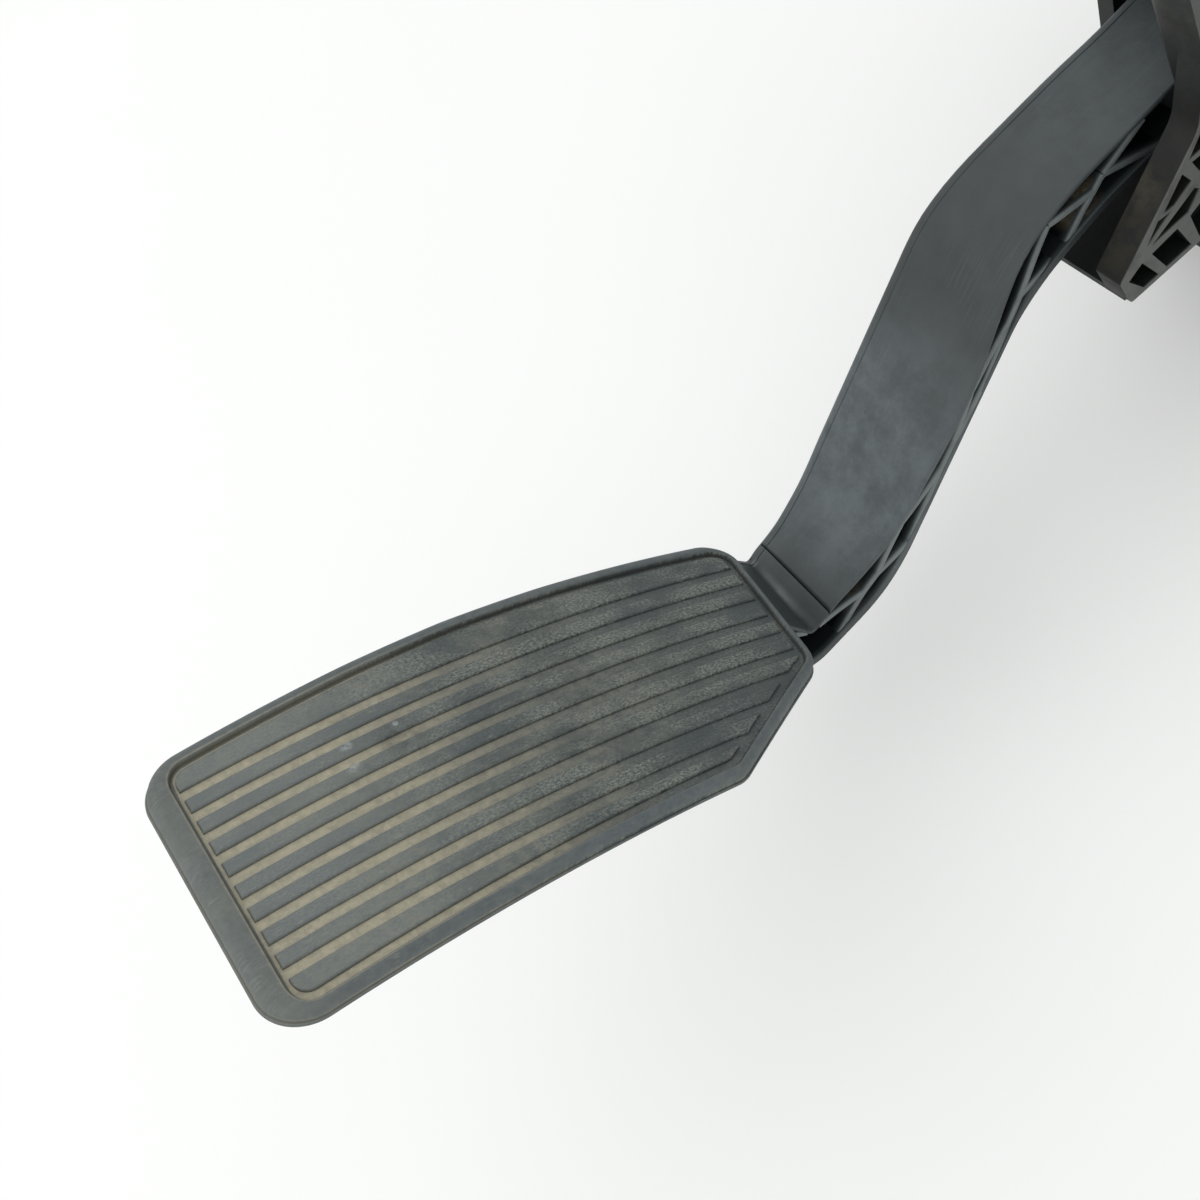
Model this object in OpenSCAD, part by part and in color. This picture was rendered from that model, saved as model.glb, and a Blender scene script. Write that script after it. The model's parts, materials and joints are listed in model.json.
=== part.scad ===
// Electronic accelerator pedal module for a car, modelled with its mounting face on z = 0.
// +Z points away from the mounting face, the pivot lies along Y, and the pad reaches towards -X.

/* [Pad] */
// Surface point at the middle of the pad, along X
pad_x = -198; // [-205:1:-195]
// Height of that point above the mounting face
pad_z = 105.5; // [103:0.5:108]
// Slope of the pad against the mounting face
pad_tilt = 40; // [38:1:42]
// Radius of the pad's crown along its length
pad_crown = 300; // [280:10:340]
// Length from the lower end to the neck end
pad_len = 121.7; // [119:0.1:124]
// Width across the two long edges
pad_width = 55; // [53:1:57]
// Sideways offset of the pad's middle from the arm's middle
pad_offset = -20; // [-22:1:-18]
// Depth of the visible edge below the field, which is also the plate's thickness
pad_edge = 2.4; // [2.2:0.1:3]
// Depth of the stiffening ribs under the plate
pad_skirt = 5.5; // [5:0.5:7]
// Distance of those ribs from the pad's edge
skirt_inset = 3; // [2.4:0.2:4]
// Width of the raised rim along the two sides
rim_side = 2.8; // [2.4:0.1:3.2]
// Width of the raised rim at the lower end
rim_low = 4.3; // [4:0.1:4.8]
// Width of the raised rim at the neck end
rim_neck = 1.6; // [1.5:0.1:2]
// Height of the rim above the field
rim_height = 0.6; // [0.4:0.1:0.9]
// Radius of the rim's outer shoulder
rim_round = 1.5; // [1:0.1:1.5]
// Width of the channel inside the rim
channel_width = 1.1; // [0.8:0.1:1.4]
// Depth of the channel and of the grooves
groove_depth = 0.6; // [0.4:0.1:0.9]
// Number of long grooves
groove_count = 9; // [7:2:9]
// Distance between neighbouring grooves
groove_pitch = 4.7; // [4.5:0.1:4.8]
// Width of one groove
groove_width = 1.9; // [1.5:0.2:2.3]

/* [Arm] */
// Half width at the root
arm_half = 10.3; // [10:0.1:10.6]
// Half width at the neck
arm_half_neck = 11.2; // [11:0.1:11.8]
// Half width in the middle of the arm
arm_half_mid = 13.5; // [13:0.1:13.8]
// Reach of the back flange towards the open side
flange_half = 12.1; // [11.8:0.1:12.4]
// Thickness of the front plate
front_plate = 2.4; // [2:0.2:3]
// Thickness of the back flange
back_flange = 2.2; // [1.8:0.2:2.6]
// Thickness of the closed side wall
side_wall = 2.2; // [1.8:0.2:2.6]
// Thickness of the crossed ribs
brace = 1.7; // [1.4:0.1:2]
// How far the ribs end short of the open side
brace_recess = 0.6; // [0.4:0.2:1.2]
// Radius of the front plate's closed edge
arm_round = 2; // [1.2:0.2:2.2]

/* [Pivot] */
// Pivot axis along X
pivot_x = -15; // [-16:0.5:-14]
// Pivot axis above the mounting face
pivot_z = 70; // [69:0.5:71]
// Radius of the arm's hub
hub_r = 13.5; // [12.5:0.5:14]
// Radius of the steel shaft
shaft_r = 4; // [3.5:0.25:4.5]
// Radial running clearance of the shaft in its bushes
shaft_clearance = 0.05; // [0.03:0.01:0.08]
// Wall of the bushes
bush_wall = 1.5; // [1.2:0.1:2]
// Full travel of the pedal in degrees
travel = 13; // [11:1:13]

/* [Springs] */
// Spring axis along X
spring_x = 12; // [11:0.5:13]
// Mean coil radius of the outer spring
outer_coil = 8; // [7.6:0.1:8.2]
// Wire of the outer spring
outer_wire = 2; // [1.6:0.2:2.2]
// Mean coil radius of the inner spring
inner_coil = 4.9; // [4.8:0.1:5.1]
// Wire of the inner spring
inner_wire = 1.4; // [1.2:0.1:1.5]
// Turns of the springs
turns = 5; // [4:1:6]
// Thickness of the spring seat's plate
seat_plate = 2; // [1.6:0.2:2.4]

/* [Housing] */
// Rear end of the housing body
body_rear = 38; // [38:0.5:40]
// Front of the housing body above the mounting flange
body_front = -36; // [-37:0.5:-35]
// Top of the housing
body_top = 112; // [111:0.5:114]
// Thickness of the roof
roof = 8; // [7:0.5:9]
// Inner half width between the cheeks
bay_half = 16; // [15:0.5:16.5]
// Thickness of the ribbed cheek, which also carries the sensor box
cheek = 6; // [5.5:0.5:7]
// Thickness of the plain cheek
plain_cheek = 4; // [3.5:0.5:5]
// Thickness of plain walls
wall = 3; // [2.6:0.2:3.4]
// Depth of the pockets in the ribbed cheek
pocket_depth = 4; // [3:0.5:4.5]
// Thickness of the pocket ribs
pocket_rib = 1.8; // [1.4:0.2:2.2]
// Thickness of the mounting flange
flange = 7; // [6:0.5:9]
// Circle of the three mounting bolts
bolt_circle = 104; // [102:1:108]
// Hole radius of the mounting sleeves
bolt_r = 3.3; // [3:0.1:3.6]
// Wall of the mounting sleeves
sleeve_wall = 1.7; // [1.5:0.1:2]

/* [Sensor] */
// Length of the sensor box along X
box_len = 46; // [45:1:48]
// Height of the sensor box
box_height = 50; // [49:1:52]
// Depth of the sensor box beyond its cheek
box_depth = 16; // [15.5:0.5:17]
// Thickness of the sensor cover
cover = 2.5; // [2:0.25:3]
// Thickness of the circuit board
board = 1.6; // [1.2:0.2:2]
// Depth of the connector socket
socket_depth = 18; // [16:1:20]
// Distance between neighbouring terminals
terminal_pitch = 3.6; // [3.2:0.1:3.8]

/* [Hidden] */
$fn = 64;
arc_step = 12;
eps = 0.01;
rest_gap = 0.3;
slate = [0.27, 0.3, 0.31];
slate_dark = [0.2, 0.22, 0.23];
steel = [0.72, 0.73, 0.75];
spring_steel = [0.45, 0.46, 0.48];
natural_nylon = [0.86, 0.84, 0.76];
rubber_black = [0.1, 0.1, 0.1];
board_green = [0.1, 0.35, 0.2];
pin_brass = [0.8, 0.68, 0.35];

// Outline points are [x, y, corner radius], listed counter-clockwise
function flat(v) = [v[0], v[1]];
function heading(a, b) = (flat(b) - flat(a)) / norm(flat(b) - flat(a));
function left_of(v) = [-v[1], v[0]];
function turn_of(u, v) = atan2(u[0] * v[1] - u[1] * v[0], u * v);

// Every edge moved inwards by its own distance, with the corner radii kept concentric
function inset_each(p, d) = [
    for (i = [0 : len(p) - 1])
        let (n = len(p), j = (i + n - 1) % n, u = heading(p[j], p[i]), v = heading(p[i], p[(i + 1) % n]))
        let (c = u * v, a = (d[j] - c * d[i]) / (1 - c * c), b = (d[i] - c * d[j]) / (1 - c * c))
        let (m = left_of(u) * a + left_of(v) * b, s = turn_of(u, v) > 0 ? 1 : -1)
        [p[i][0] + m[0], p[i][1] + m[1], p[i][2] > 0 ? max(0.1, p[i][2] - s * (d[i] + d[j]) / 2) : 0]];
function inset(p, d) = inset_each(p, [for (q = p) d]);

// The outline's points, with an arc at every corner that has a radius
function rounded(p) = [
    for (i = [0 : len(p) - 1])
        let (n = len(p), u = heading(p[(i + n - 1) % n], p[i]), v = heading(p[i], p[(i + 1) % n]))
        let (a = turn_of(u, v), r = p[i][2], s = a > 0 ? 1 : -1)
        let (start = flat(p[i]) - u * r * tan(abs(a) / 2), hub = start + left_of(u) * r * s)
        let (steps = r > 0 ? max(1, ceil(abs(a) / arc_step)) : 0)
        for (k = [0 : steps])
            let (t = a * k / max(1, steps), q = start - hub)
            steps == 0 ? flat(p[i]) : hub + [q[0] * cos(t) - q[1] * sin(t), q[0] * sin(t) + q[1] * cos(t)]];

module outline(p) { polygon(rounded(p)); }
module along_y(y0, y1) { translate([0, y1, 0]) rotate([90, 0, 0]) linear_extrude(y1 - y0) children(); }
module round_y(x, z, r, y0, y1) { translate([x, y1, z]) rotate([90, 0, 0]) cylinder(r = r, h = y1 - y0); }
module ring_y(x, z, r_out, r_in, y0, y1) {
    difference() {
        round_y(x, z, r_out, y0, y1);
        round_y(x, z, r_in, y0 - 1, y1 + 1);
    }
}
module bar(a, b, t) {
    u = heading(a, b) * t;
    w = left_of(heading(a, b)) * t / 2;
    polygon([a - u - w, b + u - w, b + u + w, a - u + w]);
}

// The pad is worked out in its own frame, with its surface's middle at the origin
pad_left = pad_offset + pad_width / 2;
pad_right = pad_offset - pad_width / 2;
pad_low = -pad_len * 0.484;
pad_high = pad_len + pad_low;
pad_bulge = 2.2;
// Corners: lower right, chamfer's start, chamfer's end, neck left, left bulge, lower left
pad_outline = [
    [pad_low, pad_right - 0.1, 8], [pad_high - 37, pad_right + 2.1, 7], [pad_high - 6.4, pad_right + 19, 7],
    [pad_high, pad_left, 6.5], [0, pad_left + pad_bulge, 500], [pad_low + 1.5, pad_left - 0.3, 8]];
rim_widths = [rim_side, (rim_side + rim_neck) / 2, rim_neck, rim_side, rim_side, rim_low];
field_edge = inset_each(pad_outline, rim_widths);
field = inset(field_edge, channel_width);
shoulder_steps = 4;
skirt_rib = 1.6;

module pad_frame() { translate([pad_x, 0, pad_z]) rotate([0, pad_tilt, 0]) children(); }
module pad_layer(p, top, bottom) {
    intersection() {
        translate([0, 0, -40]) linear_extrude(80) outline(p);
        difference() {
            round_y(0, -pad_crown, pad_crown + top, -70, 30, $fn = 240);
            round_y(0, -pad_crown, pad_crown + bottom, -71, 31, $fn = 240);
        }
    }
}
module pad_rim() {
    for (k = [0 : shoulder_steps]) {
        a = 90 * k / shoulder_steps;
        pad_layer(inset(pad_outline, rim_round * (1 - cos(a))), rim_height - rim_round * (1 - sin(a)),
                  -pad_edge);
    }
}
module pad_grooves() {
    for (k = [0 : groove_count - 1]) {
        y = pad_offset + (k - (groove_count - 1) / 2) * groove_pitch;
        intersection() {
            translate([-pad_len, y - groove_width / 2, -40]) cube([2 * pad_len, groove_width, 80]);
            pad_layer(inset(field_edge, eps), 2, -groove_depth);
        }
    }
}
module pad_underside_ribs() {
    skirt = inset(pad_outline, skirt_inset);
    intersection() {
        pad_layer(skirt, -pad_edge + 0.5, -pad_skirt);
        union() {
            for (k = [-1 : 1])
                translate([-pad_len, pad_offset + 14 * k - skirt_rib / 2, -40]) cube([2 * pad_len, skirt_rib, 80]);
            for (x = [pad_low + 20 : 20 : pad_high - 10])
                translate([x - skirt_rib / 2, -70, -40]) cube([skirt_rib, 140, 80]);
            difference() {
                translate([0, 0, -40]) linear_extrude(80) outline(pad_outline);
                translate([0, 0, -41]) linear_extrude(82) outline(inset(skirt, skirt_rib));
            }
        }
    }
}
module pad() {
    difference() {
        pad_rim();
        pad_layer(field_edge, rim_height + 2, -groove_depth);
    }
    difference() {
        pad_layer(field, 0, -groove_depth - 0.5);
        pad_grooves();
    }
    pad_underside_ribs();
}

// The arm's side profile: back edge from the pad to the root, then the front edge back again
neck_x = -156.5;
root_x = pivot_x + 3;
front_line = [[-157.2, 43.4], [-136.6, 44.9], [-78.2, 82.8], [root_x, 80.5]];
back_line = [[-160.5, 34.2], [-136.4, 34.2], [-85.6, 71.1], [root_x, 67]];
arm_profile = [
    [-189.7, 87.4, 0], [-160.5, 34.2, 9], [-136.4, 34.2, 31], [-85.6, 71.1, 22], [root_x, 67, 0],
    [root_x, 80.5, 0], [-78.2, 82.8, 47], [-136.6, 44.9, 36], [neck_x, 43.5, 2.5],
    [neck_x, 60, 0], [-170.7, 77, 0], [-186, 92.4, 0]];
// Line between the front plate and the back flange, which may differ in width
mid_line = [[-188, 91], [-162, 48], [-157, 39], [-136.5, 39.5], [-82, 77], [root_x + 2, 73.5]];
front_half = concat(mid_line, [[root_x + 2, 100], [-200, 120]]);
back_half = concat(mid_line, [[root_x + 2, 20], [-220, 20]]);
// The arm's plan outline: narrow under the pad, widest in the middle
arm_left = [
    [root_x + 1, arm_half, 0], [-74, arm_half, 40], [-90, arm_half_mid - 0.4, 40], [-130, arm_half_mid - 0.4, 40],
    [-147, arm_half_neck, 40], [neck_x - 1, arm_half_neck, 3], [neck_x - 9, pad_left - 1, 3],
    [-210, pad_left - 1, 0]];
front_plan = concat([
    [-210, -arm_half_neck, 0], [-146, -arm_half_neck, 60], [-124, -arm_half_mid, 60],
    [-104, -arm_half_mid - 0.4, 30], [-83, -arm_half, 40], [root_x + 1, -arm_half, 0]], arm_left);
back_plan = concat([
    [-210, -flange_half, 0], [-84, -flange_half, 30], [-66, -arm_half, 30], [root_x + 1, -arm_half, 0]], arm_left);
// Everything of the plan outline but a strip along the closed side
inner_plan = inset(front_plan, side_wall);
open_side_plan = concat(
    [[-211, -30, 0], [root_x + 2, -30, 0], [root_x + 2, arm_half - side_wall, 0]],
    [for (k = [7 : 12]) inner_plan[k]], [[-211, pad_left - 1 - side_wall, 0]]);
// Feet of the crossed ribs along both lines, and the joints where each pair meets
front_feet = [-157.2, -128.5, -104, -76, -52];
back_feet = [-152, -129.5, -100, -74.5, -50];
rib_joints = [
    [[-142.6, 39.1], [-138.2, 40.4]], [[-116, 52], [-112, 55]], [[-91.2, 69.2], [-86.7, 72.2]],
    [[-65.5, 76], [-62.7, 77.5]]];

module arm_slab(p, q) {
    intersection() {
        along_y(-30, 30) outline(p);
        translate([0, 0, 20]) linear_extrude(90) outline(q);
    }
}
module arm_band(half, plan) {
    intersection() {
        along_y(-30, 30) intersection() {
            difference() {
                outline(arm_profile);
                outline(inset(arm_profile, front_plate));
            }
            polygon(half);
        }
        translate([0, 0, 20]) linear_extrude(90) intersection() {
            outline(plan);
            outline(open_side_plan);
        }
    }
}
module arm_closed_side() {
    difference() {
        for (k = [0 : shoulder_steps]) {
            a = 90 * k / shoulder_steps;
            arm_slab(inset(arm_profile, arm_round * (1 - sin(a))), inset(front_plan, arm_round * (1 - cos(a))));
        }
        translate([0, 0, 19]) linear_extrude(92) outline(open_side_plan);
    }
}
module arm_braces() {
    intersection() {
        along_y(-30, 30) intersection() {
            outline(inset(arm_profile, 0.5));
            union() {
                for (i = [0 : len(rib_joints) - 1]) {
                    low = rib_joints[i][0];
                    high = rib_joints[i][1];
                    bar([front_feet[i], lookup(front_feet[i], front_line)], low, brace);
                    bar([back_feet[i], lookup(back_feet[i], back_line)], low, brace);
                    bar(low, high, brace);
                    bar(high, [front_feet[i + 1], lookup(front_feet[i + 1], front_line)], brace);
                    bar(high, [back_feet[i + 1], lookup(back_feet[i + 1], back_line)], brace);
                }
                bar([-158, 44], [-176, 74], brace);
            }
        }
        translate([0, 0, 20]) linear_extrude(90) intersection() {
            outline(inset(front_plan, brace_recess));
            outline(inset(back_plan, brace_recess));
        }
    }
}

// Fine parting line across the neck
parting_line = 0.4;
parting_x = -150;
parting_z = lookup(parting_x, front_line) - parting_line;

// Hub and rear lever behind the arm, which carry the shaft, the spring seat and the friction shoe
lever_top = pivot_z - 3;
lever_low = pivot_z - 14;
lever_r = 42;
root_start = -44;
root_low = lookup(root_start, back_line);
root_high = lookup(root_start, front_line) - arm_round;
lever_end = pivot_x + lever_r + 3;
module arm_root() {
    round_y(pivot_x, pivot_z, hub_r, -arm_half, arm_half);
    along_y(-arm_half, arm_half) intersection() {
        polygon([
            [root_start, root_low], [pivot_x - 8, pivot_z - 10], [pivot_x + 6, lever_low],
            [lever_end, lever_low], [lever_end, lever_top], [pivot_x + 13, lever_top],
            [root_x, root_high], [root_start, root_high]]);
        translate([pivot_x, pivot_z]) circle(r = lever_r, $fn = 128);
    }
}
module pedal_arm() {
    color(slate) difference() {
        union() {
            pad_frame() pad();
            arm_band(front_half, front_plan);
            arm_band(back_half, back_plan);
            arm_closed_side();
            arm_braces();
            arm_root();
        }
        round_y(pivot_x, pivot_z, shaft_r, -arm_half - 1, arm_half + 1);
        translate([parting_x, -arm_half_neck - 2, parting_z]) cube([parting_line, 2 * arm_half_neck + 4, 3]);
    }
}
// Shaft, bushes and clip on the pivot axis
cheek_out = -bay_half - cheek;
plain_out = bay_half + plain_cheek;
bush_r = shaft_r + shaft_clearance + bush_wall;
rotor_grip = 6;
shaft_end = cheek_out - rotor_grip;
clip = 0.8;
clip_play = 0.1;
clip_depth = 0.8;
clip_y = plain_out + 1.6;
module pivot_shaft() {
    color(steel) difference() {
        round_y(pivot_x, pivot_z, shaft_r, shaft_end, clip_y + clip + 1.2);
        ring_y(pivot_x, pivot_z, shaft_r + 1, shaft_r - clip_depth,
               clip_y - clip_play, clip_y + clip + clip_play);
    }
}
module bush(y0, y1, collar0, collar1) {
    difference() {
        union() {
            round_y(pivot_x, pivot_z, bush_r, y0, y1);
            round_y(pivot_x, pivot_z, bush_r + 2.5, collar0, collar1);
        }
        round_y(pivot_x, pivot_z, shaft_r + shaft_clearance, y0 - 9, y1 + 9);
    }
}
collar_in = arm_half + rest_gap;
module bush_right() { color(natural_nylon) bush(cheek_out, -bay_half, -bay_half, -collar_in); }
module bush_left() { color(natural_nylon) bush(bay_half, plain_out, collar_in, bay_half); }
module shaft_clip() {
    color(spring_steel) difference() {
        ring_y(pivot_x, pivot_z, shaft_r + 2.6, shaft_r - clip_depth + 0.02, clip_y, clip_y + clip);
        translate([pivot_x - 1.6, clip_y - 1, pivot_z - 12]) cube([3.2, 3, 10]);
    }
}

// Springs between the rear lever and the roof
spring_low = lever_top + seat_plate;
spring_high = body_top - roof;
function coil_point(t, r, w, low, high) =
    [spring_x + r * cos(360 * turns * t), r * sin(360 * turns * t),
     low + w / 2 + (high - low - w) * min(1, max(0, (t * turns - 0.75) / (turns - 1.5)))];
module coil(r, w, low, high) {
    sides = 8;
    rings = turns * 18;
    points = [
        for (i = [0 : rings]) for (j = [0 : sides - 1])
            let (c = coil_point(i / rings, r, w, low, high), a = 360 * turns * i / rings, b = 360 * j / sides)
            c + [cos(a) * cos(b), sin(a) * cos(b), sin(b)] * w / 2];
    faces = concat(
        [[for (j = [0 : sides - 1]) j]],
        [for (i = [0 : rings - 1]) for (j = [0 : sides - 1])
            let (k = (j + 1) % sides) [i * sides + j, (i + 1) * sides + j, (i + 1) * sides + k, i * sides + k]],
        [[for (j = [sides - 1 : -1 : 0]) rings * sides + j]]);
    polyhedron(points, faces, convexity = 8);
}
module outer_spring() { color(spring_steel) coil(outer_coil, outer_wire, spring_low, spring_high); }
module inner_spring() { color(spring_steel) coil(inner_coil, inner_wire, spring_low, spring_high); }
seat_boss = inner_coil - inner_wire / 2 - 0.4;
module spring_seat() {
    color(natural_nylon) translate([spring_x, 0, lever_top]) {
        cylinder(r = outer_coil + outer_wire / 2 + 0.8, h = seat_plate);
        cylinder(r = seat_boss, h = seat_plate + 5);
    }
}
shoe_r = lever_r + 7.5;
module friction_shoe() {
    color(natural_nylon) intersection() {
        ring_y(pivot_x, pivot_z, shoe_r, lever_r, -7, 7, $fn = 128);
        translate([0, -10, lever_low + 1]) cube([60, 20, lever_top - lever_low - 2]);
    }
}

// Rubber stops: the lever rests on one, the arm's back meets the other at full travel
stop_x = 22;
idle_top = lever_low - rest_gap;
idle_seat = idle_top - 4;
module idle_stop() {
    color(rubber_black) translate([stop_x - 4, -6, idle_seat]) cube([8, 12, 4]);
}
full_x = -42;
full_top = 61.2;
full_seat = full_top - 3;
module full_stop() {
    color(rubber_black) translate([full_x - 4, -6, full_seat]) cube([8, 12, full_top - full_seat]);
}

// Housing
cheek_profile = [
    [-73.6, 60.6, 1], [-56.7, 57.9, 20], [body_front - 4, 54.5, 3], [body_front, 48, 5], [body_front, 0, 0],
    [body_rear, 0, 0], [body_rear, body_top, 5], [-41, body_top, 6], [-46.5, 104, 6],
    [-46.5, 96.5, 6], [-51.1, 84.2, 6], [-74.2, 67.6, 1]];
plain_profile = [
    [body_front, 0, 0], [body_rear, 0, 0], [body_rear, body_top, 5], [-30, body_top, 5],
    [-32, 84, 5], [body_front, 60, 4]];
bolt_points = [for (a = [0, 120, 240]) [cos(a), sin(a)] * bolt_circle / 2];
sleeve_r = bolt_r + sleeve_wall;
ear_r = sleeve_r + 5;
bearing_boss_r = bush_r + 4;

module flange_plate() {
    difference() {
        union() {
            for (p = bolt_points) translate([p[0], p[1], 0]) cylinder(r = ear_r, h = flange);
            linear_extrude(flange) polygon([
                [bolt_points[2][0] - ear_r, bolt_points[2][1]], [bolt_points[2][0], bolt_points[2][1] - ear_r],
                [bolt_points[0][0] + 2, -ear_r], [bolt_points[0][0] + 2, ear_r],
                [bolt_points[1][0], bolt_points[1][1] + ear_r], [bolt_points[1][0] - ear_r, bolt_points[1][1]]]);
        }
        for (p = bolt_points) translate([p[0], p[1], -1]) cylinder(r = sleeve_r, h = flange + 2);
    }
}
// Pockets of the ribbed cheek's nose, and the ribs between the pockets of its hidden rear part
nose_pockets = [
    [[-72.6, 66.4], [-70.2, 61.1], [-66.6, 60.5], [-68.9, 67.6]],
    [[-66.6, 67.4], [-64.6, 60.2], [-58.6, 59.3], [-60.3, 67]],
    [[-67.2, 70.2], [-60.3, 72.7], [-63.5, 73.6]],
    [[-66.1, 69.4], [-57.3, 68.1], [-53.9, 71], [-54.9, 72.4]],
    [[-62, 74.1], [-59.5, 73.3], [-55, 74.7], [-56.4, 78.6]],
    [[-54.4, 80.2], [-50.3, 79.4], [-50, 84.4]],
    [[-54, 79], [-53, 75], [-50.4, 74.6], [-50.4, 78.2]],
    [[-57.2, 66.8], [-56.6, 59.2], [-50, 58.2], [-50, 68.6]]];
rear_pockets = [
    [-48, 58, 1], [body_front + 2, 54, 1], [body_front + 2, 3, 1], [body_rear - 2, 3, 1],
    [body_rear - 2, body_top - 3, 1], [-42, body_top - 3, 1], [-44.5, 104, 1], [-44.5, 96, 1], [-48, 88, 1]];
module rear_ribs() {
    for (x = [body_front : 12 : body_rear]) translate([x - pocket_rib / 2, 0]) square([pocket_rib, body_top]);
    for (z = [16 : 14 : body_top]) translate([-60, z - pocket_rib / 2]) square([60 + body_rear, pocket_rib]);
}
module ribbed_cheek() {
    difference() {
        along_y(cheek_out, -bay_half) outline(cheek_profile);
        along_y(cheek_out - 1, cheek_out + pocket_depth) {
            for (p = nose_pockets) polygon(p);
            difference() {
                outline(rear_pockets);
                rear_ribs();
                outline(box_outline);
                translate([pivot_x, pivot_z]) circle(r = bearing_boss_r);
            }
        }
    }
}
module walls() {
    translate([body_rear - wall, -bay_half - 1, 0])
        cube([wall, 2 * bay_half + 2, body_top - 5]);
    translate([body_front, -bay_half - 1, 0]) cube([wall, 2 * bay_half + 2, 52]);
    along_y(-bay_half - 1, 10) polygon([
        [-72, 54.8], [body_front + 1, 49], [body_front + 1, 57.6], [full_x, 57.4], [-72, 56.8]]);
    along_y(-bay_half - 1.5, -bay_half) polygon([
        [-72, 54.8], [body_front + 1, 49], [body_front + 1, 60], [-56, 62], [-72, 63]]);
}
// The hood's nose runs back obliquely from the ribbed cheek, over the arm's root
hood_low = 84;
hood_nose = [
    [body_rear - 3, cheek_out, 0], [body_rear - 3, plain_out, 0], [-30, plain_out, 0], [-31, 8, 10],
    [-34.5, 0.5, 8], [-46.5, -12.5, 5], [-46.5, cheek_out, 0]];
module hood() {
    translate([0, 0, spring_high]) linear_extrude(roof) outline(hood_nose);
    translate([0, 0, hood_low]) linear_extrude(body_top - hood_low - 1) difference() {
        outline(hood_nose);
        outline(inset(hood_nose, wall + 1));
    }
}
module inner_ledges() {
    translate([stop_x - wall / 2, -bay_half - 1, flange - 1]) cube([wall, 2 * bay_half + 2, idle_seat - flange]);
    translate([stop_x - 5, -bay_half - 1, idle_seat - wall]) cube([10, 2 * bay_half + 2, wall]);
    translate([full_x - 5, -8, 54]) cube([9, 16, full_seat - 54]);
    translate([spring_x, 0, spring_high - 5]) cylinder(r = seat_boss, h = 6);
    difference() {
        translate([29, -8, lever_low - 6]) cube([body_rear - 30, 16, 34]);
        round_y(pivot_x, pivot_z, shoe_r + rest_gap, -9, 9, $fn = 128);
    }
}
// The sensor is worked out on the +Y side and mirrored to the ribbed cheek
sensor_face = bay_half + cheek;
box_x0 = pivot_x - box_len / 2;
box_z0 = pivot_z - box_height / 2;
box_out = sensor_face + box_depth;
box_outline = [
    [box_x0, box_z0, 5], [box_x0 + box_len, box_z0, 5],
    [box_x0 + box_len, box_z0 + box_height, 5], [box_x0, box_z0 + box_height, 5]];
screw_inset = 4.5;
screw_points = [for (x = [box_x0 + screw_inset, box_x0 + box_len - screw_inset])
    for (z = [box_z0 + screw_inset, box_z0 + box_height - screw_inset]) [x, z]];
screw_r = 1.5;
screw_boss = 3.2;
post_r = 1.8;
board_gap = 6;
board_y = box_out - board_gap;
seal = 1;
module sensor_side() { mirror([0, 1, 0]) children(); }
module seal_groove(y0, y1) {
    along_y(y0, y1) difference() {
        outline(inset(box_outline, seal));
        outline(inset(box_outline, 2 * seal));
    }
}
module sensor_box() {
    difference() {
        union() {
            difference() {
                along_y(sensor_face - 1, box_out) outline(box_outline);
                along_y(sensor_face, box_out + 1) outline(inset(box_outline, wall));
            }
            for (p = screw_points) round_y(p[0], p[1], screw_boss, sensor_face, box_out);
        }
        for (p = screw_points) round_y(p[0], p[1], screw_r, box_out - 10, box_out + 1);
        seal_groove(box_out - seal, box_out + 1);
        socket_bore();
    }
    for (p = screw_points) {
        s = [p[0] < pivot_x ? 5.2 : -5.2, p[1] < pivot_z ? 4 : -4];
        round_y(p[0] + s[0], p[1] + s[1], post_r, sensor_face, board_y);
    }
}
socket_wall = 2;
socket_z = terminal_pitch * 6 + 2 * socket_wall;
socket_deep = 13;
socket_y0 = box_out - socket_deep;
socket_x0 = box_x0 + box_len;
module socket_bore() {
    translate([socket_x0 - wall - 1, socket_y0 + socket_wall, pivot_z - socket_z / 2 + socket_wall])
        cube([socket_depth + 30, socket_deep - 2 * socket_wall, socket_z - 2 * socket_wall]);
}
module connector_socket() {
    difference() {
        translate([socket_x0 - 1, socket_y0, pivot_z - socket_z / 2])
            cube([socket_depth + 1, socket_deep, socket_z]);
        translate([socket_x0 + 2, socket_y0 + socket_wall, pivot_z - socket_z / 2 + socket_wall])
            cube([socket_depth + 30, socket_deep - 2 * socket_wall, socket_z - 2 * socket_wall]);
        for (i = [0 : 5]) terminal(i);
    }
    translate([socket_x0 + 5, socket_y0 - 1.5, pivot_z - 4]) cube([5, 2, 8]);
}
module housing() {
    color(slate_dark) difference() {
        union() {
            ribbed_cheek();
            along_y(bay_half, plain_out) outline(plain_profile);
            walls();
            hood();
            inner_ledges();
            flange_plate();
            sensor_side() sensor_box();
            sensor_side() connector_socket();
        }
        round_y(pivot_x, pivot_z, bush_r, cheek_out - 1, plain_out + 1);
    }
}

// Position sensor: a magnet on the shaft's end turns in front of a board with two chips
rotor_r = 10;
rotor_play = 0.5;
magnet = 3;
magnet_out = 8.5;
magnet_in = 5.5;
rotor_top = sensor_face + rotor_grip + 1;
module magnet_rotor() {
    color(natural_nylon) sensor_side() difference() {
        round_y(pivot_x, pivot_z, rotor_r, sensor_face + rotor_play, rotor_top);
        round_y(pivot_x, pivot_z, shaft_r, sensor_face, sensor_face + rotor_grip);
        ring_y(pivot_x, pivot_z, magnet_out, magnet_in, rotor_top - magnet, rotor_top + 1);
    }
}
module rotor_magnet() {
    color(spring_steel) sensor_side()
        ring_y(pivot_x, pivot_z, magnet_out, magnet_in, rotor_top - magnet, rotor_top);
}
board_inset = wall + 4.4;
module circuit_board() {
    color(board_green) sensor_side() along_y(board_y, board_y + board) outline(inset(box_outline, board_inset));
}
chip = [5, 1.4, 4];
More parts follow.
